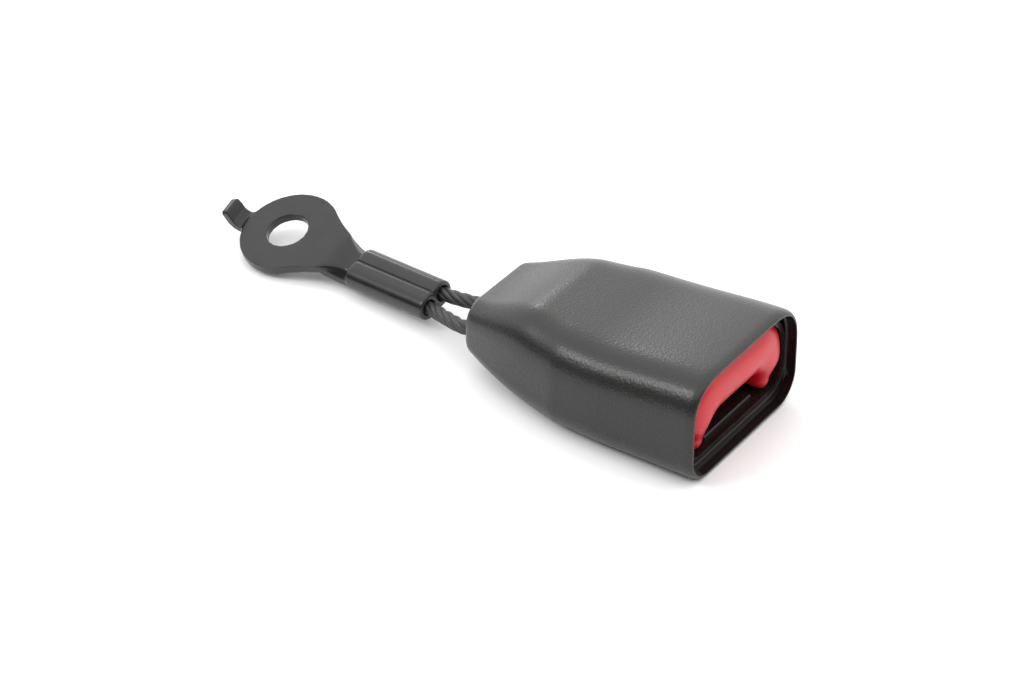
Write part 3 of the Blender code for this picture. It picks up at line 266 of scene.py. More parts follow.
def boot_finish():
    made, tree, shader = finish_named("boot_grained_black", (0.03, 0.029, 0.028), 0.42)
    place = object_place(tree)
    cells = add_node(tree, "ShaderNodeTexVoronoi", feature="SMOOTH_F1")
    cells.inputs["Scale"].default_value = GRAIN_CELLS
    tree.links.new(place, cells.inputs["Vector"])
    fine = noise(tree, place, GRAIN_BREAK, 3)
    joined = add_node(tree, "ShaderNodeMath", operation="MULTIPLY_ADD")
    tree.links.new(fine, joined.inputs[0])
    joined.inputs[1].default_value = GRAIN_MIX
    tree.links.new(cells.outputs["Distance"], joined.inputs[2])
    inner = add_node(tree, "ShaderNodeAttribute", attribute_name="inner").outputs["Fac"]
    outer = spread(tree, inner, 0.0, 1.0, 1.0, GRAIN_INSIDE)
    grain = add_node(tree, "ShaderNodeMath", operation="MULTIPLY")
    tree.links.new(joined.outputs[0], grain.inputs[0])
    tree.links.new(outer, grain.inputs[1])
    bump(tree, shader, grain.outputs[0], GRAIN_STRENGTH, GRAIN_DEPTH)
    slow = noise(tree, place, 60, 3)
    skin_color = blend_colors(tree, slow, (0.014, 0.0135, 0.013), (0.022, 0.021, 0.0205))
    tree.links.new(blend_colors(tree, inner, skin_color, MOUTH_BROWN), shader.inputs["Base Color"])
    shine = spread(tree, inner, 0.0, 1.0, SHINE_OUTSIDE, SHINE_INSIDE)
    tree.links.new(shine, shader.inputs["Specular IOR Level"])
    rough = spread(tree, fine, 0.3, 0.7, 0.24, 0.38)
    smoother = add_node(tree, "ShaderNodeMath", operation="MULTIPLY_ADD")
    tree.links.new(inner, smoother.inputs[0])
    smoother.inputs[1].default_value = SMOOTHER_INSIDE
    tree.links.new(rough, smoother.inputs[2])
    tree.links.new(smoother.outputs[0], shader.inputs["Roughness"])
    return made


# %% [markdown]
# ## Red of the button
#
# The button is one satin red moulding. Real ones show a faint fine texture and slightly uneven
# gloss, from thumbs. A broad soft highlight matters more than any pattern, so the bump is very
# small and the roughness moves only a little.

# %% Button finish
def button_finish():
    made, tree, shader = finish_named("button_red", (0.54, 0.008, 0.016), 0.33, 0.0, 0.42)
    place = object_place(tree)
    fine = noise(tree, place, 3200, 2)
    slow = noise(tree, place, 140, 3)
    bump(tree, shader, fine, 0.08, 0.00005)
    uneven(tree, shader, slow, (0.50, 0.006, 0.012), (0.58, 0.009, 0.018), 0.28, 0.40)
    return made


# %% [markdown]
# ## Dark inner moulding, plated steel and white slide
#
# What sits inside the mouth is smooth and very dark, with a brown cast. The hidden steel is plated
# or drawn: a metal with long faint marks. The slide is a milky engineering plastic, so it gets a
# touch of scattering and a soft sheen.

# %% Inner finishes
MARK_STRETCH = 0.06


def inner_finish():
    made, tree, shader = finish_named("inner_gloss_black", (0.014, 0.009, 0.008), 0.24, 0.0, 0.22)
    place = object_place(tree)
    slow = noise(tree, place, 220, 3)
    uneven(tree, shader, slow, MOUTH_BROWN, (0.018, 0.011, 0.010), 0.18, 0.32)
    bump(tree, shader, noise(tree, place, 1500, 2), 0.05, 0.00004)
    return made


def metal_finish(name, color, dark, roughness):
    made, tree, shader = finish_named(name, color, roughness, 1.0)
    place = object_place(tree)
    stretch = add_node(tree, "ShaderNodeMapping")
    stretch.inputs["Scale"].default_value = (MARK_STRETCH, 1, 1)
    tree.links.new(place, stretch.inputs["Vector"])
    marks = noise(tree, stretch.outputs["Vector"], 2400, 3)
    slow = noise(tree, place, 180, 3)
    tree.links.new(blend_colors(tree, slow, dark, color), shader.inputs["Base Color"])
    tree.links.new(spread(tree, marks, 0.3, 0.7, roughness - 0.08, roughness + 0.12),
                   shader.inputs["Roughness"])
    bump(tree, shader, marks, 0.10, 0.00003)
    return made


def slide_finish():
    made, tree, shader = finish_named("white_slide", (0.72, 0.71, 0.67), 0.38)
    shader.inputs["Subsurface Weight"].default_value = 0.08
    shader.inputs["Subsurface Scale"].default_value = 0.002
    place = object_place(tree)
    slow = noise(tree, place, 160, 2)
    tree.links.new(blend_colors(tree, slow, (0.67, 0.66, 0.62), (0.75, 0.74, 0.70)),
                   shader.inputs["Base Color"])
    bump(tree, shader, noise(tree, place, 1800, 2), 0.05, 0.00004)
    return made


# %% [markdown]
# ## Black coated steel of the anchor plate
#
# The plate is pressed from sheet and coated satin black. Its sheared rim is painted paler than the
# faces, a painted reflection of the pale floor beside it. A face belongs to the rim when its normal
# lies in the plate's plane, and that is a rule that holds from every side, so it is used to mix in
# the painted reflection.

# %% Plate finish
FACE_FLATNESS = 0.62
RIM_FLATNESS = 0.30
# How strongly the painted reflection of the pale floor lightens the rim.
RIM_PAINTED_REFLECTION = 0.75


def plate_finish(face_normal):
    made, tree, shader = finish_named("plate_satin_black", (0.016, 0.016, 0.017), 0.26, 0.0, 0.40)
    place = object_place(tree)
    slow = noise(tree, place, 240, 4)
    fine = noise(tree, place, 1700, 3)
    normal = add_node(tree, "ShaderNodeNewGeometry").outputs["Normal"]
    along = add_node(tree, "ShaderNodeVectorMath", operation="DOT_PRODUCT")
    along.inputs[1].default_value = tuple(face_normal)
    tree.links.new(normal, along.inputs[0])
    flatness = add_node(tree, "ShaderNodeMath", operation="ABSOLUTE")
    tree.links.new(along.outputs["Value"], flatness.inputs[0])
    # Painted reflection: faces whose normals lie in the plate's plane get a paler colour, which stands
    # in for the pale floor mirrored in the rim.
    rim_reflection = spread(tree, flatness.outputs[0], FACE_FLATNESS, RIM_FLATNESS, 0.0, RIM_PAINTED_REFLECTION)
    body = blend_colors(tree, slow, (0.010, 0.010, 0.011), (0.018, 0.018, 0.019))
    tree.links.new(blend_colors(tree, rim_reflection, body, (0.045, 0.044, 0.044)), shader.inputs["Base Color"])
    tree.links.new(spread(tree, slow, 0.3, 0.7, 0.18, 0.28), shader.inputs["Roughness"])
    bump(tree, shader, fine, 0.05, 0.00005)
    return made


# %% [markdown]
# ## Black of the rope
#
# Each strand of the rope is itself laid from thin wires. They show as fine lines that run almost
# along the rope, against the turn of the strands. The rope's mesh carries two numbers per point, how
# far round and how far along it is, and a sine of the two draws the wires as bump.

# %% Rope finish
ROPE_LAY = 0.022
WIRES_ROUND = 34
WIRE_TURNS = 1.25


def rope_finish():
    made, tree, shader = finish_named("rope_black", (0.03, 0.03, 0.031), 0.38, 0.35)
    around = add_node(tree, "ShaderNodeAttribute", attribute_name="lay_around").outputs["Fac"]
    along = add_node(tree, "ShaderNodeAttribute", attribute_name="lay_along").outputs["Fac"]
    turns = add_node(tree, "ShaderNodeMath", operation="MULTIPLY_ADD")
    tree.links.new(along, turns.inputs[0])
    turns.inputs[1].default_value = WIRE_TURNS / ROPE_LAY
    tree.links.new(around, turns.inputs[2])
    wave = add_node(tree, "ShaderNodeMath", operation="MULTIPLY")
    tree.links.new(turns.outputs[0], wave.inputs[0])
    wave.inputs[1].default_value = tau * WIRES_ROUND
    lines = add_node(tree, "ShaderNodeMath", operation="SINE")
    tree.links.new(wave.outputs[0], lines.inputs[0])
    bump(tree, shader, lines.outputs[0], 0.5, 0.00006)
    place = object_place(tree)
    slow = noise(tree, place, 400, 3)
    uneven(tree, shader, slow, (0.020, 0.020, 0.021), (0.050, 0.050, 0.051), 0.30, 0.50)
    return made


# %% Make the finishes that need nothing more
BOOT_BLACK = boot_finish()
RED = button_finish()
INNER_BLACK = inner_finish()
ZINC = metal_finish("zinc_plate", (0.56, 0.56, 0.57), (0.44, 0.44, 0.45), 0.34)
SPRING_WIRE = metal_finish("drawn_steel", (0.44, 0.44, 0.46), (0.34, 0.34, 0.36), 0.28)
WHITE = slide_finish()
ROPE_BLACK = rope_finish()
print("finishes ready:", len(bpy.data.materials))

# %% [markdown]
# ## The boot
#
# The boot is one sleeve: outside, rounded rear end, rope exit and hollow. Seen from the mouth its
# section is a rectangle with large, full upper corners and smaller round lower ones. The section
# narrows and its underside lifts towards the rope. A subdivided box would need many hand-set edges; a
# skin over sections follows the form by rule, so it is used here, with four times the solid's rings.

# %% Boot sizes
BOOT_LENGTH = 0.073
MOUTH_X = BOOT_LENGTH / 2
REAR_X = -BOOT_LENGTH / 2
BOOT_HEIGHT = 0.0292
MOUTH_HALF = 0.025
REAR_HALF = 0.0145
WAIST = 0.0014
ROOF_DROP = 0.0022
REAR_LOW = 0.0056
REAR_TOP = 0.0203
TOP_CORNER = 0.0135
REAR_TOP_CORNER = 0.0060
BASE_CORNER = 0.0085
REAR_BASE_CORNER = 0.0050
MOUTH_POWER = 2.7
ROUND_POWER = 2.0
RIM_RADIUS = 0.0024
RIM_INSET = 0.0010
TAIL_RADIUS = 0.0016
LEAST_CORNER = 0.0006
LEAST_HOLLOW_CORNER = 0.0012
GAP = 0.0003
HOUSING_WALL = 0.0015

# Distances behind the mouth where a change of the section starts or ends.
TAIL_START = 0.0410
LIFT_START = 0.0440
LIFT_END = BOOT_LENGTH + 0.016
DROP_END = 0.034
FALL_START = 0.69 * BOOT_LENGTH
FALL_END = 1.03 * BOOT_LENGTH
THIN_START = 0.0030
THIN_END = 0.0024

# The hollow's walls, how much thinner they are at the mouth's rim, and the rope's exit hole.
FLOOR_WALL = 0.0032
REAR_FLOOR_WALL = 0.0018
SIDE_WALL = 0.0018
ROOF_WALL = 0.0017
THIN_SIDE = 0.0004
THIN_FLOOR = 0.0017
THIN_ROOF = 0.0003
EXIT_HALF = 0.0112
EXIT_LOW = 0.0074
EXIT_HEIGHT = 0.0080
EXIT_CORNER = 0.0034
EXIT_SHIFT = -0.0003
EXIT_FLARE = 0.0006

# How fine the skin is.
EDGE_STEPS = 8
BODY_RINGS = 60
HOLLOW_RINGS = 24
CORNER_STEPS = 14


def boot_size(x):
    """Half width, underside, roof and corner radii of the boot's outside at x."""
    behind = MOUTH_X - x
    tail = max(0.0, (behind - TAIL_START) / (BOOT_LENGTH - TAIL_START))
    draw = 0.30 * tail * tail + 0.70 * tail
    waist = ease(behind, TAIL_START - 0.016, TAIL_START + 0.012)
    half = mix(MOUTH_HALF, REAR_HALF, draw) - WAIST * waist * (1 - tail)
    low = REAR_LOW * ease(behind, LIFT_START, LIFT_END)
    low /= ease(BOOT_LENGTH, LIFT_START, LIFT_END)
    roof = BOOT_HEIGHT - ROOF_DROP * ease(behind, 0.0, DROP_END)
    fall = ease(behind, FALL_START, FALL_END)
    fall /= ease(BOOT_LENGTH, FALL_START, FALL_END)
    roof -= (BOOT_HEIGHT - ROOF_DROP - REAR_TOP) * fall
    late = ease(behind, TAIL_START, BOOT_LENGTH)
    top = mix(TOP_CORNER, REAR_TOP_CORNER, late)
    base = mix(BASE_CORNER, REAR_BASE_CORNER, late)
    return half, low, roof, top, base


def full_corner(cx, cy, radius, power):
    """A quarter turn from the side to the top that is fuller than a circle for powers above 2."""
    turns = [pi / 2 * i / CORNER_STEPS for i in range(CORNER_STEPS + 1)]
    return [(cx + radius * max(cos(a), 0.0) ** (2 / power), cy + radius * sin(a) ** (2 / power))
            for a in turns]


def corner_power(x):
    late = ease(MOUTH_X - x, TAIL_START - 0.006, BOOT_LENGTH - 0.004)
    return mix(MOUTH_POWER, ROUND_POWER, late)


def section(x, half, low, roof, top, base, shift=0.0):
    """One ring; its corners are kept small enough for its width and height."""
    top = min(top, half * 0.98, (roof - low) * 0.60)
    base = min(base, half * 0.98, roof - low - top)
    right_top = full_corner(half - top, roof - top, top, corner_power(x))
    ring = right_top + [(-y, z) for y, z in right_top[::-1]]
    ring += arc(-half + base, low + base, base, pi, pi / 2, CORNER_STEPS)
    ring += arc(half - base, low + base, base, 3 * pi / 2, pi / 2, CORNER_STEPS)
    return [(x, y + shift, z) for y, z in ring]


def outside(x, inset=0.0):
    half, low, roof, top, base = boot_size(x)
    return section(x, half - inset, low + inset, roof - inset, max(top - inset, LEAST_CORNER),
                   max(base - inset, LEAST_CORNER))


def hollow_size(x, more=0.0):
    """The same five sizes for the hollow, or for a form that lies further in by more."""
    half, low, roof, top, base = boot_size(x)
    wall = mix(FLOOR_WALL, REAR_FLOOR_WALL, ease(-x, 0.008, 0.030))
    side = SIDE_WALL + more
    return (half - side, low + wall + more, roof - ROOF_WALL - more,
            max(top - side, LEAST_CORNER), max(base - side, LEAST_HOLLOW_CORNER))


def mouth_size(x):
    """The hollow again, thinned to the mouth's narrow rim in front of the housing."""
    half, low, roof, top, base = hollow_size(x)
    thin = ease(x, MOUTH_X - THIN_START, MOUTH_X - THIN_END)
    return half + THIN_SIDE * thin, low - THIN_FLOOR * thin, roof + THIN_ROOF * thin, top, base


# %% Boot
def make_boot():
    rings = []
    for i in range(EDGE_STEPS + 1):
        a = radians(90) * i / EDGE_STEPS
        rings.append(outside(MOUTH_X - RIM_RADIUS * (1 - cos(a)), RIM_INSET * (1 - sin(a))))
    start = MOUTH_X - RIM_RADIUS
    stop = REAR_X + TAIL_RADIUS
    rings += [outside(mix(start, stop, i / BODY_RINGS)) for i in range(1, BODY_RINGS + 1)]
    for i in range(1, EDGE_STEPS + 1):
        a = radians(90) * i / EDGE_STEPS
        rings.append(outside(stop - TAIL_RADIUS * sin(a), TAIL_RADIUS * (1 - cos(a))))
    for x, wider in ((REAR_X, 0.0006), (REAR_X + 0.0003, 0.00015), (REAR_X + TAIL_RADIUS, 0.0)):
        rings.append(section(x, EXIT_HALF + wider, EXIT_LOW - wider, EXIT_LOW + EXIT_HEIGHT + wider,
                             EXIT_CORNER, EXIT_CORNER, EXIT_SHIFT))
    outer_rings = len(rings)
    for i in range(HOLLOW_RINGS):
        x = mix(stop + EXIT_FLARE, MOUTH_X - THIN_START, i / (HOLLOW_RINGS - 1))
        rings.append(section(x, *hollow_size(x)))
    for ahead in (0.0029, 0.0028, 0.0027, 0.0026, 0.0024, 0.0012, 0.0):
        rings.append(section(MOUTH_X - ahead, *mouth_size(MOUTH_X - ahead)))
    boot = mesh_object("boot", *skin(rings, closed=True), sharp=50)
    inner = boot.data.attributes.new("inner", "FLOAT", "POINT")
    around = len(rings[0])
    for i, value in enumerate(inner.data):
        value.value = 1.0 if i // around >= outer_rings else 0.0
    paint(boot, BOOT_BLACK)
    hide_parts("boot_sleeve")
    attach(boot, "buckle")
    return boot


boot = make_boot()
print("boot faces:", len(boot.data.polygons))

# %% [markdown]
# ## The button
#
# The button is an arch over the tongue's slot with a crowned front, rounded feet, and two arms that
# reach back to the lock pin. The crown follows a superellipse, a little fuller than an ellipse, and
# that gives the long soft highlight. The arms are joined on with a Boolean, because they start inside
# the arch.

# %% Button sizes
RUN = 0.0004
BUTTON_TRAVEL = 0.0050
BUTTON_FRONT = MOUTH_X - 0.0013
BUTTON_BACK = BUTTON_FRONT - 0.0080
HOUSING_FLOOR = FLOOR_WALL + GAP + HOUSING_WALL
BAR = 0.0114
LEG = 0.0078
LEG_TAPER = 0.0030
LEG_LEAN = 0.0022
LEAN_LOW = 0.0060
LEAN_HIGH = 0.0150
FOOT_LIFT = 0.0040
FOOT_ROUND = 0.0034
FOOT_SWEEP = radians(84)
FOOT_RINGS = 10
SLOT_RADIUS = 0.0064
BUTTON_POWER = 2.4
CROWN = 0.0034
CROWN_POWER = 2.1
CROWN_POINTS = 33
LEG_STEPS = 12
BAR_STEPS = 5
LOCK_PIN_X = -0.0020
LOCK_PIN_Z = 0.01725
ARM_INNER = 0.0165 + GAP
ARM_OUTER = ARM_INNER + 0.0012
ARM_HALF = 0.0022
ARM_END = LOCK_PIN_X - 0.0026
ARM_ROUND = 0.0016
ARM_OVERLAP = 0.0010


def button_edges(x):
    """Outer and inner edges of the arch at x, as matching (y, z) lists.

    The arch has to fit the housing where x ends up when the button is pressed in.
    """
    half, _, roof, top, _ = hollow_size(x - BUTTON_TRAVEL, GAP + HOUSING_WALL + RUN)
    foot = HOUSING_FLOOR + FOOT_LIFT
    inner_half = half - LEG
    inner_top = roof - BAR
    radius = SLOT_RADIUS
    outer = [
        (half - LEG_TAPER * (1 - ease(i, -1, LEG_STEPS)), mix(foot, roof - top, i / LEG_STEPS))
        for i in range(LEG_STEPS)
    ]
    outer += full_corner(half - top, roof - top, top, BUTTON_POWER)
    outer += [((half - top) * (1 - i / BAR_STEPS), roof) for i in range(1, BAR_STEPS)]
    start = asin((foot - inner_top + radius) / radius)
    inner = arc(inner_half - radius, inner_top - radius, radius, start, pi / 2 - start,
                CORNER_STEPS + LEG_STEPS)
    inner += [((inner_half - radius) * (1 - i / BAR_STEPS), inner_top) for i in range(1, BAR_STEPS)]
    outer += [(0.0, roof)] + [(-y, z) for y, z in outer[::-1]]
    inner += [(0.0, inner_top)] + [(-y, z) for y, z in inner[::-1]]
    return outer, inner


# %% Button
def make_button():
    outer, inner = button_edges(BUTTON_FRONT)
    back_outer = button_edges(BUTTON_BACK)[0]
    rings = []
    for i in range(len(outer)):
        o = Vector(outer[i])
        n = Vector(inner[i])
        ring = []
        for j in range(CROWN_POINTS):
            v = 0.5 - 0.5 * cos(pi * j / (CROWN_POINTS - 1))
            s = abs(2 * v - 1)
            crown = CROWN * (1 - (1 - s ** CROWN_POWER) ** (1 / CROWN_POWER))
            p = o.lerp(n, v)
            lean = LEG_LEAN * ease(-p.y, -LEAN_HIGH, -LEAN_LOW)
            ring.append((BUTTON_FRONT - crown - lean, p.x, p.y))
        ring += [(BUTTON_BACK, n.x, n.y), (BUTTON_BACK, *back_outer[i])]
        rings.append(ring)
    feet = []
    for end in (0, -1):
        ring = rings[end]
        mid_y = sum(p[1] for p in ring) / len(ring)
        mid_x = BUTTON_BACK + 0.35 * (BUTTON_FRONT - BUTTON_BACK)
        more = []
        for k in range(1, FOOT_RINGS + 1):
            a = FOOT_SWEEP * k / FOOT_RINGS
            shrink = cos(a)
            more.append([(mix(mid_x, x, mix(1, shrink, 0.6)), mix(mid_y, y, shrink),
                          z - FOOT_ROUND * sin(a)) for x, y, z in ring])
        feet.append(more)
    rings = feet[0][::-1] + rings + feet[1]
    button = mesh_object("button_work", *skin(rings))
    tools = []
    stations = [(ARM_END + ARM_ROUND * (1 - cos(a)), ARM_HALF - ARM_ROUND * (1 - sin(a)))
                for a in (radians(15 * i) for i in range(7))]
    stations.append((BUTTON_BACK + ARM_OVERLAP, ARM_HALF))
    for side in (-1, 1):
        arm = skin([
            [(x, side * y, LOCK_PIN_Z + z) for y, z in (
                (ARM_INNER, -h), (ARM_OUTER, -h), (ARM_OUTER, h - 0.0010),
                (ARM_INNER + 0.0004, h), (ARM_INNER, h))]
            for x, h in stations
        ])
        tools.append(mesh_object(f"arm_{side + 1}", *arm))
    for tool in tools:
        cut_or_join(button, tool, "UNION")
    button = plain_copy(button, "button", 50)
    for tool in tools:
        bpy.data.objects.remove(tool, do_unlink=True)
    paint(button, RED)
    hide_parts("press_button")
    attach(button, "button")
    return button


button = make_button()
print("button faces:", len(button.data.polygons))

# %% [markdown]
# ## Springs
#
# Coil springs are the plainest case of a shape that follows a rule, so one Geometry Nodes tree makes
# them all: a spiral curve, a round profile, and a place. Its sizes are named inputs. The result is
# turned into a plain mesh.

# %% Coil tree
def coil_tree():
    tree = bpy.data.node_groups.new("coil_spring", "GeometryNodeTree")
    face = tree.interface
    for name, kind in (("Turns", "NodeSocketFloat"), ("Radius", "NodeSocketFloat"),
                       ("Length", "NodeSocketFloat"), ("Wire", "NodeSocketFloat"),
                       ("Place", "NodeSocketVector")):
        face.new_socket(name, in_out="INPUT", socket_type=kind)
    face.new_socket("Geometry", in_out="OUTPUT", socket_type="NodeSocketGeometry")
    start = tree.nodes.new("NodeGroupInput")
    end = tree.nodes.new("NodeGroupOutput")
    spiral = tree.nodes.new("GeometryNodeCurveSpiral")
    spiral.inputs["Resolution"].default_value = 24
    ring = tree.nodes.new("GeometryNodeCurvePrimitiveCircle")
    ring.inputs["Resolution"].default_value = 10
    sweep = tree.nodes.new("GeometryNodeCurveToMesh")
    sweep.inputs["Fill Caps"].default_value = True
    move = tree.nodes.new("GeometryNodeTransform")
    move.inputs["Rotation"].default_value = (0, radians(90), 0)
    real = tree.nodes.new("GeometryNodeRealizeInstances")
    coat = tree.nodes.new("GeometryNodeSetMaterial")
    coat.inputs["Material"].default_value = SPRING_WIRE
    link = tree.links.new
    link(start.outputs["Turns"], spiral.inputs["Rotations"])
    link(start.outputs["Radius"], spiral.inputs["Start Radius"])
    link(start.outputs["Radius"], spiral.inputs["End Radius"])
    link(start.outputs["Length"], spiral.inputs["Height"])
    link(start.outputs["Wire"], ring.inputs["Radius"])
    link(spiral.outputs["Curve"], sweep.inputs["Curve"])
    link(ring.outputs["Curve"], sweep.inputs["Profile Curve"])
    link(sweep.outputs["Mesh"], move.inputs["Geometry"])
    link(start.outputs["Place"], move.inputs["Translation"])
    link(move.outputs["Geometry"], real.inputs["Geometry"])
    link(real.outputs["Geometry"], coat.inputs["Geometry"])
    link(coat.outputs["Geometry"], end.inputs["Geometry"])
    return tree


def run_tree(name, tree, inputs, mesh=None):
    """A working object with the tree on it, its inputs set by identifier, made plain."""
    work = place_object(name + "_work", mesh or bpy.data.meshes.new(name + "_work"))
    change = work.modifiers.new("tree", "NODES")
    change.node_group = tree
    for item in tree.interface.items_tree:
        if item.item_type == "SOCKET" and item.in_out == "INPUT" and item.name in inputs:
            change[item.identifier] = inputs[item.name]
    return plain_copy(work, name, 60)


# %% Coils
COILS = coil_tree()
COIL_WIRE = 0.00032

# Turns, radius and length of a coil, and how much of its length is left at its joint's limit.
BUTTON_COIL = (9.0, 0.0016, 0.0225, 0.78)
EJECTOR_COIL = (11.0, 0.0013, 0.0202, 0.46)
for name, node, joint, (turns, radius, length, keep), (x, y, z) in (
    ("button_coil_left", "button_spring_left", "button_press", BUTTON_COIL,
     (0.00435, 0.01872, 0.0102)),
    ("button_coil_right", "button_spring_right", "button_press", BUTTON_COIL,
     (0.00435, -0.01872, 0.0102)),
    ("ejector_coil", "ejector_spring", "ejector_slide", EJECTOR_COIL, (-0.01275, 0.0, 0.00922)),
):
    coil = run_tree(name, COILS, {"Turns": turns, "Radius": radius, "Length": length,
                                  "Wire": COIL_WIRE, "Place": (x, y, z)})
    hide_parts(node)
    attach(coil, "buckle")
    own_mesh(coil)
    print(name, "faces:", len(coil.data.polygons))

# %% [markdown]
# ## The plate's own axes
#
# The anchor plate lies tilted: it leans to one side and its crimp points a little upward. It is
# easier to draw flat, with x to the crimp and z off its upper face, and then to place it with one
# matrix. The rope's two ends use the same matrix, so they always run into the crimp's bores.

# %% Plate axes
BOLT_HOLE = Vector((-0.10661, 0.00464, 0.00766))
PLATE_PITCH = radians(2.84)
PLATE_YAW = radians(-6.20)
PLATE_LEAN = radians(17.85)


def plate_matrix():
    along = Vector((cos(PLATE_PITCH) * cos(PLATE_YAW), cos(PLATE_PITCH) * sin(PLATE_YAW),
                    sin(PLATE_PITCH)))
    level = Vector((0, 0, 1)).cross(along).normalized()
    over = along.cross(level)
    across = level * cos(PLATE_LEAN) + over * sin(PLATE_LEAN)
    normal = along.cross(across)
    return Matrix.Translation(BOLT_HOLE) @ Matrix((along, across, normal)).transposed().to_4x4()


PLATE = plate_matrix()
PLATE_NORMAL = PLATE.to_3x3() @ Vector((0, 0, 1))
PLATE_BLACK = plate_finish(PLATE_NORMAL)
print("plate leans", round(degrees(PLATE_NORMAL.angle(Vector((0, 0, 1)))), 1), "degrees")

# %% [markdown]
# ## The anchor plate
#
# One stamping makes the round head with its bolt hole, the bent locating tab, the neck whose edges
# are pressed down, and the crimp: two curls side by side, like a letter B, with a shallow seam
# between them. The parts are drawn as overlapping closed skins. A voxel remesh then melts them into
# one surface and rounds every edge a little, as a pressed and coated plate is rounded.

# %% Plate sizes
THICKNESS = 0.0024
BOLT_RADIUS = 0.00565
HEAD_RADIUS = 0.0135
HEAD_SHIFT = 0.0005
CRIMP_START = 0.0258
CRIMP_LENGTH = 0.0256
CRIMP_DEPTH = 0.00333
SHOULDER = 0.0016
SHOULDER_DROP = 0.0013
LOBE_RADIUS = 0.0034
LOBE_OFFSET = 0.0028
LOBE_EDGE = 0.0003
LOBE_STEPS = 36
TOP_DIP = 0.00015
NECK_START = 0.0078
NECK_HALF = 0.0052
NECK_DROP = 0.0015
FLANK_DROP = 0.0020
FLAT_HEAD = 0.0125
FLAT_NECK = 0.0026
HEAD_ROWS = 30
REACH_STEP = 0.000025
TAB_LENGTH = 0.0048
TAB_NECK = 0.0026
TAB_BEND = 0.0022
TAB_BEND_STEPS = 12
TAB_LEAN = radians(20)
TAB_HALF = 0.00305
TAB_THICKNESS = 0.0022
TAB_AZIMUTH = radians(188)
TAB_SINK = 0.0001
ROPE_RADIUS = 0.0019
BORE_START = 0.0018

# Distance from the middle of the crimp's top, and how deep the seam is there.
SEAM = ((0.00008, 0.00045), (0.0002, 0.0003), (0.0003, 0.00002), (0.0008, 0.0), (0.0014, 0.0),
        (0.0020, 0.0))


def neck_half(x):
    """Half width of the neck, on a curve that leaves the round head along its own tangent."""
    across = sqrt(HEAD_RADIUS ** 2 - (NECK_START - HEAD_SHIFT) ** 2)
    slope = -(NECK_START - HEAD_SHIFT) / across
    span = CRIMP_START - 0.0006 - NECK_START
    t = min(max((x - NECK_START) / span, 0.0), 1.0)
    straight = mix(across, NECK_HALF, t * t * (3 - 2 * t))
    return straight + (t ** 3 - 2 * t * t + t) * span * slope


def pressed_down(x, y):
    """How far the sheet's face lies below the head: its flanks first, then the whole neck."""
    flat_half = mix(FLAT_HEAD, FLAT_NECK, ease(x, 0.0075, CRIMP_START - 0.002))
    edge = max(neck_half(x) + 0.0002, flat_half + 0.001)
    flank = FLANK_DROP * ease(x, 0.0085, CRIMP_START - 0.003) * ease(abs(y), flat_half, edge)
    return flank + NECK_DROP * ease(x, 0.0165, CRIMP_START - 0.001)


def head_reach(a):
    """How far the sheet goes from the bolt hole's centre in direction a."""
    x = cos(a)
    y = sin(a)
    round_part = HEAD_SHIFT * x + sqrt(HEAD_RADIUS ** 2 - (HEAD_SHIFT * y) ** 2)
    if x < 0.5:
        return round_part
    reach = round_part
    for i in range(1600):
        r = round_part + REACH_STEP * i
        if r * x > CRIMP_START + 0.0014 or (i and r * x < NECK_START):
            break
        if r * x > NECK_START and abs(r * y) > neck_half(r * x):
            break
        reach = r
    return reach


# %% Plate skins
def head_skin():
    """The sheet around the bolt hole, with closer rings where it runs out into the neck."""
    wide = list(range(0, 360, 3))
    close = [d / 4 for d in range(-240, 241, 3)]
    rings = []
    for a in sorted({round(radians(d) % tau, 6) for d in wide + close}):
        far = head_reach(a)
        top = []
        for j in range(HEAD_ROWS):
            r = mix(BOLT_RADIUS, far, j / (HEAD_ROWS - 1))
            x = r * cos(a)
            y = r * sin(a)
            top.append((x, y, -pressed_down(x, y)))
        low = [(x, y, z - THICKNESS) for x, y, z in top]
        rings.append(top + low[::-1])
    return skin(rings, closed=True)


def crimp_ring(x, radius, offset):
    """Two round sides, a slightly dipped top with the seam in its middle, and a flat underside."""
    ring = [(y, radius - TOP_DIP * (1 - y / offset) ** 2 - groove) for y, groove in SEAM]
    ring += [(offset + u, v) for u, v in arc(0, 0, radius, pi / 2, -pi, LOBE_STEPS)]
    ring += [(-y, z) for y, z in ring[::-1]]
    return [(x, y, z - CRIMP_DEPTH) for y, z in ring]


def crimp_skin():
    rings = []
    for i in range(11):
        a = radians(90) * i / 10
        rings.append(crimp_ring(CRIMP_START - SHOULDER + SHOULDER * (1 - cos(a)),
                                LOBE_RADIUS - SHOULDER_DROP * (1 - sin(a)), LOBE_OFFSET))
    end = CRIMP_START + CRIMP_LENGTH
    rings.append(crimp_ring(end - LOBE_EDGE, LOBE_RADIUS, LOBE_OFFSET))
    rings.append(crimp_ring(end, LOBE_RADIUS - LOBE_EDGE, LOBE_OFFSET - 0.0001))
    return skin(rings)


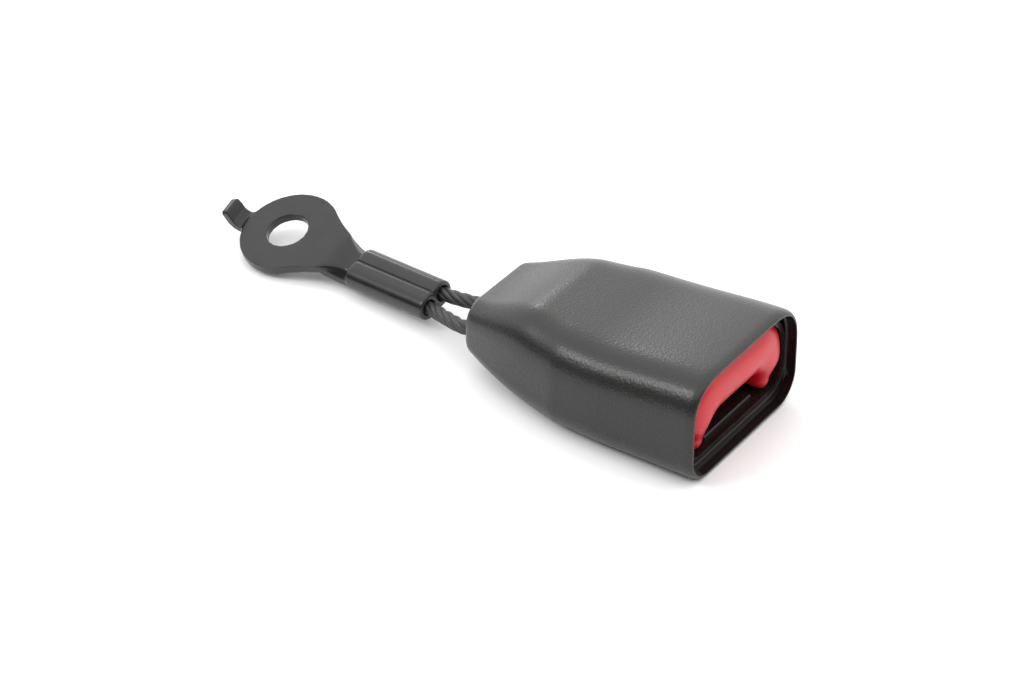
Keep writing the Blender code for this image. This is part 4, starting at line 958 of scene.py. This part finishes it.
def tab_skin():
    """The tab runs out level from the head and bends up on a round, then tapers at its end."""
    reach = HEAD_RADIUS - HEAD_SHIFT
    line = [(reach - 0.0015, 0.0), (reach + TAB_NECK - TAB_BEND, 0.0)]
    sweep = radians(90) - TAB_LEAN
    for i in range(1, TAB_BEND_STEPS + 1):
        a = sweep * i / TAB_BEND_STEPS
        line.append((reach + TAB_NECK - TAB_BEND + TAB_BEND * sin(a), TAB_BEND * (1 - cos(a))))
    more = TAB_LENGTH - TAB_BEND * (1 - cos(sweep))
    last = line[-1]
    line += [(last[0] + more * f * cos(sweep), last[1] + more * f * sin(sweep)) for f in (0.8, 1.0)]
    rings = []
    for i, (u, v) in enumerate(line):
        a = line[max(i - 1, 0)]
        b = line[min(i + 1, len(line) - 1)]
        t = Vector((b[0] - a[0], b[1] - a[1])).normalized()
        deep = Vector((u, v)) + Vector((t.y, -t.x)) * TAB_THICKNESS
        half = TAB_HALF - (0.0007 if i == len(line) - 1 else 0.0) + (0.0012 if i == 0 else 0.0)
        rings.append([(u, -half, v), (u, half, v), (deep.x, half, deep.y), (deep.x, -half, deep.y)])
    points, faces = skin(rings)
    turned = Matrix.Rotation(TAB_AZIMUTH, 4, "Z") @ Matrix.Translation((0, 0, -TAB_SINK))
    return [tuple(turned @ Vector(p)) for p in points], faces


# %% Anchor plate
VOXEL = 0.00020
SOFTENINGS = 9


def make_anchor():
    crimp = mesh_object("crimp_work", *crimp_skin())
    front = CRIMP_START + CRIMP_LENGTH + 0.001
    tools = [
        mesh_object(f"bore_{side + 1}", *tube_shape(ROPE_RADIUS + GAP, CRIMP_START + BORE_START, front,
                                                    side * LOBE_OFFSET, -CRIMP_DEPTH))
        for side in (-1, 1)
    ]
    for tool in tools:
        cut_or_join(crimp, tool, "DIFFERENCE")
    crimp = plain_copy(crimp, "crimp_cut")
    work = bmesh.new()
    work.from_mesh(crimp.data)
    for points, faces in (head_skin(), tab_skin()):
        more = mesh_object("more", points, faces)
        work.from_mesh(more.data)
        bpy.data.objects.remove(more, do_unlink=True)
    joined = bpy.data.meshes.new("anchor_joined")
    work.to_mesh(joined)
    work.free()
    for old in tools + [crimp]:
        bpy.data.objects.remove(old, do_unlink=True)
    anchor = place_object("anchor_work", joined)
    melt = anchor.modifiers.new("melt", "REMESH")
    melt.mode = "VOXEL"
    melt.voxel_size = VOXEL
    soften = anchor.modifiers.new("soften", "SMOOTH")
    soften.factor = 0.5
    soften.iterations = SOFTENINGS
    anchor = plain_copy(anchor, "anchor", 180)
    anchor.data.transform(PLATE)
    paint(anchor, PLATE_BLACK)
    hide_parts("anchor_plate")
    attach(anchor, "buckle")
    return anchor


anchor = make_anchor()
print("anchor faces:", len(anchor.data.polygons))

# %% [markdown]
# ## The wire rope
#
# The rope leaves one curl, goes round the saddle inside the boot and comes back into the other curl.
# A Geometry Nodes tree sweeps a section with six lobes along that route and turns it by one turn per
# lay, which is how laid strands look. It also stores how far round and how far along each point is,
# for the rope's finish.

# %% Rope route
SADDLE_X = -0.0240
SADDLE_BEND = 0.0060
SADDLE_FLANGE = 0.0008
BASE_LOW = 0.0053
BASE_THICKNESS = 0.0020
TAIL_STEP = 0.0014
ROPE_Z = BASE_LOW + BASE_THICKNESS + TAIL_STEP + GAP + SADDLE_FLANGE + GAP + ROPE_RADIUS
ROPE_ON_WAY = (
    ((-0.0478, -0.0060, 0.0079), (-0.0400, -0.0086, 0.0095), (-0.0320, -0.0074, 0.0113)),
    ((-0.0478, 0.0017, 0.0092), (-0.0400, 0.0018, 0.0103), (-0.0320, 0.0042, 0.0115)),
)


def rope_points():
    front = CRIMP_START + CRIMP_LENGTH
    stations = (CRIMP_START + 0.0024, CRIMP_START + 0.0102, front - 0.006, front)
    near, far = (
        [PLATE @ Vector((x, offset, -CRIMP_DEPTH)) for x in stations] + [Vector(p) for p in on_way]
        for offset, on_way in zip((-LOBE_OFFSET, LOBE_OFFSET), ROPE_ON_WAY)
    )
    bend = [
        Vector((SADDLE_X + SADDLE_BEND * sin(a), -SADDLE_BEND * cos(a), ROPE_Z))
        for a in (radians(10 + 20 * i) for i in range(9))
    ]
    return near + bend + far[::-1]


def smooth_path(points, parts=24):
    """A centripetal curve through the points."""
    fine = []
    ends = [points[0] * 2 - points[1]] + points + [points[-1] * 2 - points[-2]]
    for i in range(1, len(ends) - 2):
        a, b, c, d = ends[i - 1:i + 3]
        tb = sqrt((b - a).length)
        tc = tb + sqrt((c - b).length)
        td = tc + sqrt((d - c).length)
        for k in range(parts):
            t = mix(tb, tc, k / parts)
            ab = a * ((tb - t) / tb) + b * (t / tb)
            bc = b * ((tc - t) / (tc - tb)) + c * ((t - tb) / (tc - tb))
            cd = c * ((td - t) / (td - tc)) + d * ((t - tc) / (td - tc))
            abc = ab * ((tc - t) / tc) + bc * (t / tc)
            bcd = bc * ((td - t) / (td - tb)) + cd * ((t - tb) / (td - tb))
            fine.append(abc * ((tc - t) / (tc - tb)) + bcd * ((t - tb) / (tc - tb)))
    return fine + [points[-1]]


# %% Rope tree
STRANDS = 6
STRAND_ROUND = 0.6
SECTION_POINTS = 66


def rope_tree():
    tree = bpy.data.node_groups.new("laid_rope", "GeometryNodeTree")
    face = tree.interface
    face.new_socket("Geometry", in_out="INPUT", socket_type="NodeSocketGeometry")
    for name in ("Radius", "Lay", "Groove", "Step"):
        face.new_socket(name, in_out="INPUT", socket_type="NodeSocketFloat")
    face.new_socket("Geometry", in_out="OUTPUT", socket_type="NodeSocketGeometry")
    link = tree.links.new

    def math(kind, a, b=None):
        made = tree.nodes.new("ShaderNodeMath")
        made.operation = kind
        for socket, value in zip(made.inputs, (a, b)):
            if hasattr(value, "links"):
                link(value, socket)
            elif value is not None:
                socket.default_value = value
        return made.outputs[0]

    def keep(geometry, name, value):
        made = tree.nodes.new("GeometryNodeStoreNamedAttribute")
        made.data_type = "FLOAT"
        made.domain = "POINT"
        made.inputs["Name"].default_value = name
        link(geometry, made.inputs["Geometry"])
        link(value, made.inputs["Value"])
        return made.outputs["Geometry"]

    start = tree.nodes.new("NodeGroupInput")
    end = tree.nodes.new("NodeGroupOutput")
    path = tree.nodes.new("GeometryNodeMeshToCurve")
    link(start.outputs["Geometry"], path.inputs["Mesh"])
    even = tree.nodes.new("GeometryNodeResampleCurve")
    even.mode = "LENGTH"
    link(path.outputs["Curve"], even.inputs["Curve"])
    link(start.outputs["Step"], even.inputs["Length"])
    where = tree.nodes.new("GeometryNodeSplineParameter")
    tilt = tree.nodes.new("GeometryNodeSetCurveTilt")
    turns = math("DIVIDE", where.outputs["Length"], start.outputs["Lay"])
    link(math("MULTIPLY", turns, tau), tilt.inputs["Tilt"])
    link(keep(even.outputs["Curve"], "lay_along", where.outputs["Length"]), tilt.inputs["Curve"])
    ring = tree.nodes.new("GeometryNodeCurvePrimitiveCircle")
    ring.inputs["Resolution"].default_value = SECTION_POINTS
    ring.inputs["Radius"].default_value = 1
    around = tree.nodes.new("GeometryNodeSplineParameter").outputs["Factor"]
    lobe = math("ABSOLUTE", math("COSINE", math("MULTIPLY", around, STRANDS / 2 * tau)))
    lobe = math("POWER", lobe, STRAND_ROUND)
    lobe = math("SUBTRACT", 1.0, math("MULTIPLY", math("SUBTRACT", 1.0, lobe),
                                      start.outputs["Groove"]))
    size = math("MULTIPLY", lobe, start.outputs["Radius"])
    place = tree.nodes.new("GeometryNodeInputPosition")
    grown = tree.nodes.new("ShaderNodeVectorMath")
    grown.operation = "SCALE"
    link(place.outputs["Position"], grown.inputs[0])
    link(size, grown.inputs["Scale"])
    shaped = tree.nodes.new("GeometryNodeSetPosition")
    link(keep(ring.outputs["Curve"], "lay_around", around), shaped.inputs["Geometry"])
    link(grown.outputs[0], shaped.inputs["Position"])
    sweep = tree.nodes.new("GeometryNodeCurveToMesh")
    sweep.inputs["Fill Caps"].default_value = True
    link(tilt.outputs["Curve"], sweep.inputs["Curve"])
    link(shaped.outputs["Geometry"], sweep.inputs["Profile Curve"])
    real = tree.nodes.new("GeometryNodeRealizeInstances")
    coat = tree.nodes.new("GeometryNodeSetMaterial")
    coat.inputs["Material"].default_value = ROPE_BLACK
    link(sweep.outputs["Mesh"], real.inputs["Geometry"])
    link(real.outputs["Geometry"], coat.inputs["Geometry"])
    link(coat.outputs["Geometry"], end.inputs["Geometry"])
    return tree


# %% Rope
def make_rope():
    line = smooth_path(rope_points())
    mesh = bpy.data.meshes.new("rope_route")
    mesh.from_pydata(line, [(i, i + 1) for i in range(len(line) - 1)], [])
    rope = run_tree("rope", rope_tree(), {"Radius": ROPE_RADIUS, "Lay": ROPE_LAY, "Groove": 0.24,
                                          "Step": 0.0004}, mesh)
    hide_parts("wire_rope")
    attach(rope, "buckle")
    length = sum((b - a).length for a, b in zip(line, line[1:]))
    print("rope length", round(length, 4), "faces", len(rope.data.polygons))


make_rope()

# %% [markdown]
# ## Finishes on the solids that stay
#
# The inner pieces already have their true form in the solids. They only need a real finish, which
# goes into each object's first material slot. A table from finish to node names keeps it readable.

# %% Finish the solids
STAY = {
    "lower_housing": INNER_BLACK, "upper_housing": INNER_BLACK,
    "buckle_frame": ZINC, "latch_plate": ZINC, "rope_saddle": ZINC,
    "latch_pin": SPRING_WIRE, "pin_clip_left": SPRING_WIRE, "pin_clip_right": SPRING_WIRE,
    "latch_spring": SPRING_WIRE, "lock_pin": SPRING_WIRE, "saddle_rivet": SPRING_WIRE,
    "rivet_washer": SPRING_WIRE, "ejector": WHITE,
}
for name, finish in STAY.items():
    paint(nodes[name], finish)
print("solids kept:", len(STAY))

# %% [markdown]
# ## Floor and light
#
# The buckle stands on a pale sheet in a wide soft light, as in a light tent. The tent is bright
# overhead and behind and dark low in front. The roof then mirrors the bright back, the upper part of
# the near side mirrors the dark front, and its lower part mirrors the sheet, so the black form reads
# by its reflections. The sheet is a round one, because the tent must be dark beyond its front edge.
# To the camera the tent is plain white, and the sheet is as white as that.

# %% Floor
FLOOR_CENTRE = Vector((-0.03, 0, 0))
FLOOR_RADIUS = 0.30
FLOOR_SIDES = 96
FLOOR_WHITE = (0.93, 0.93, 0.93)


def make_floor():
    ring = arc(FLOOR_CENTRE.x, FLOOR_CENTRE.y, FLOOR_RADIUS, 0, tau * (FLOOR_SIDES - 1) / FLOOR_SIDES,
               FLOOR_SIDES - 1)
    floor = mesh_object("floor", [(x, y, 0) for x, y in ring], [tuple(range(len(ring)))])
    paint(floor, finish_named("floor_white", FLOOR_WHITE, 0.9, 0.0, 0.0)[0])


make_floor()

# %% World and lights
TENT_BRIGHT = 1.75
TENT_DARK = 0.08
TENT_TOWARD = Vector((-0.15, 0.45, 0.88))
TENT_EDGE = (0.05, 0.35)
TENT_TO_CAMERA = 1.0


def make_light():
    world = bpy.data.worlds.new("studio")
    bpy.context.scene.world = world
    world.use_nodes = True
    tree = world.node_tree
    sky = tree.nodes["Background"]
    sky.inputs["Color"].default_value = (1, 1, 1, 1)
    facing = add_node(tree, "ShaderNodeVectorMath", operation="DOT_PRODUCT")
    facing.inputs[1].default_value = tuple(TENT_TOWARD.normalized())
    tree.links.new(add_node(tree, "ShaderNodeTexCoord").outputs["Generated"], facing.inputs[0])
    tent = spread(tree, facing.outputs["Value"], *TENT_EDGE, TENT_DARK, TENT_BRIGHT)
    seen = add_node(tree, "ShaderNodeMix", data_type="FLOAT")
    tree.links.new(add_node(tree, "ShaderNodeLightPath").outputs["Is Camera Ray"], seen.inputs[0])
    tree.links.new(tent, seen.inputs[2])
    seen.inputs[3].default_value = TENT_TO_CAMERA
    tree.links.new(seen.outputs[0], sky.inputs["Strength"])
    for name, strength, width, toward in (
        ("near_left_sun", 0.80, 20, Vector((0.47, 0.56, -0.68))),
        ("small_sun", 0.20, 7, Vector((0.62, -0.60, -0.50))),
    ):
        lamp = bpy.data.lights.new(name, "SUN")
        lamp.energy = strength
        lamp.angle = radians(width)
        place_object(name, lamp).rotation_euler = toward.to_track_quat("-Z", "Y").to_euler()


make_light()
bpy.context.scene.view_settings.view_transform = "Standard"
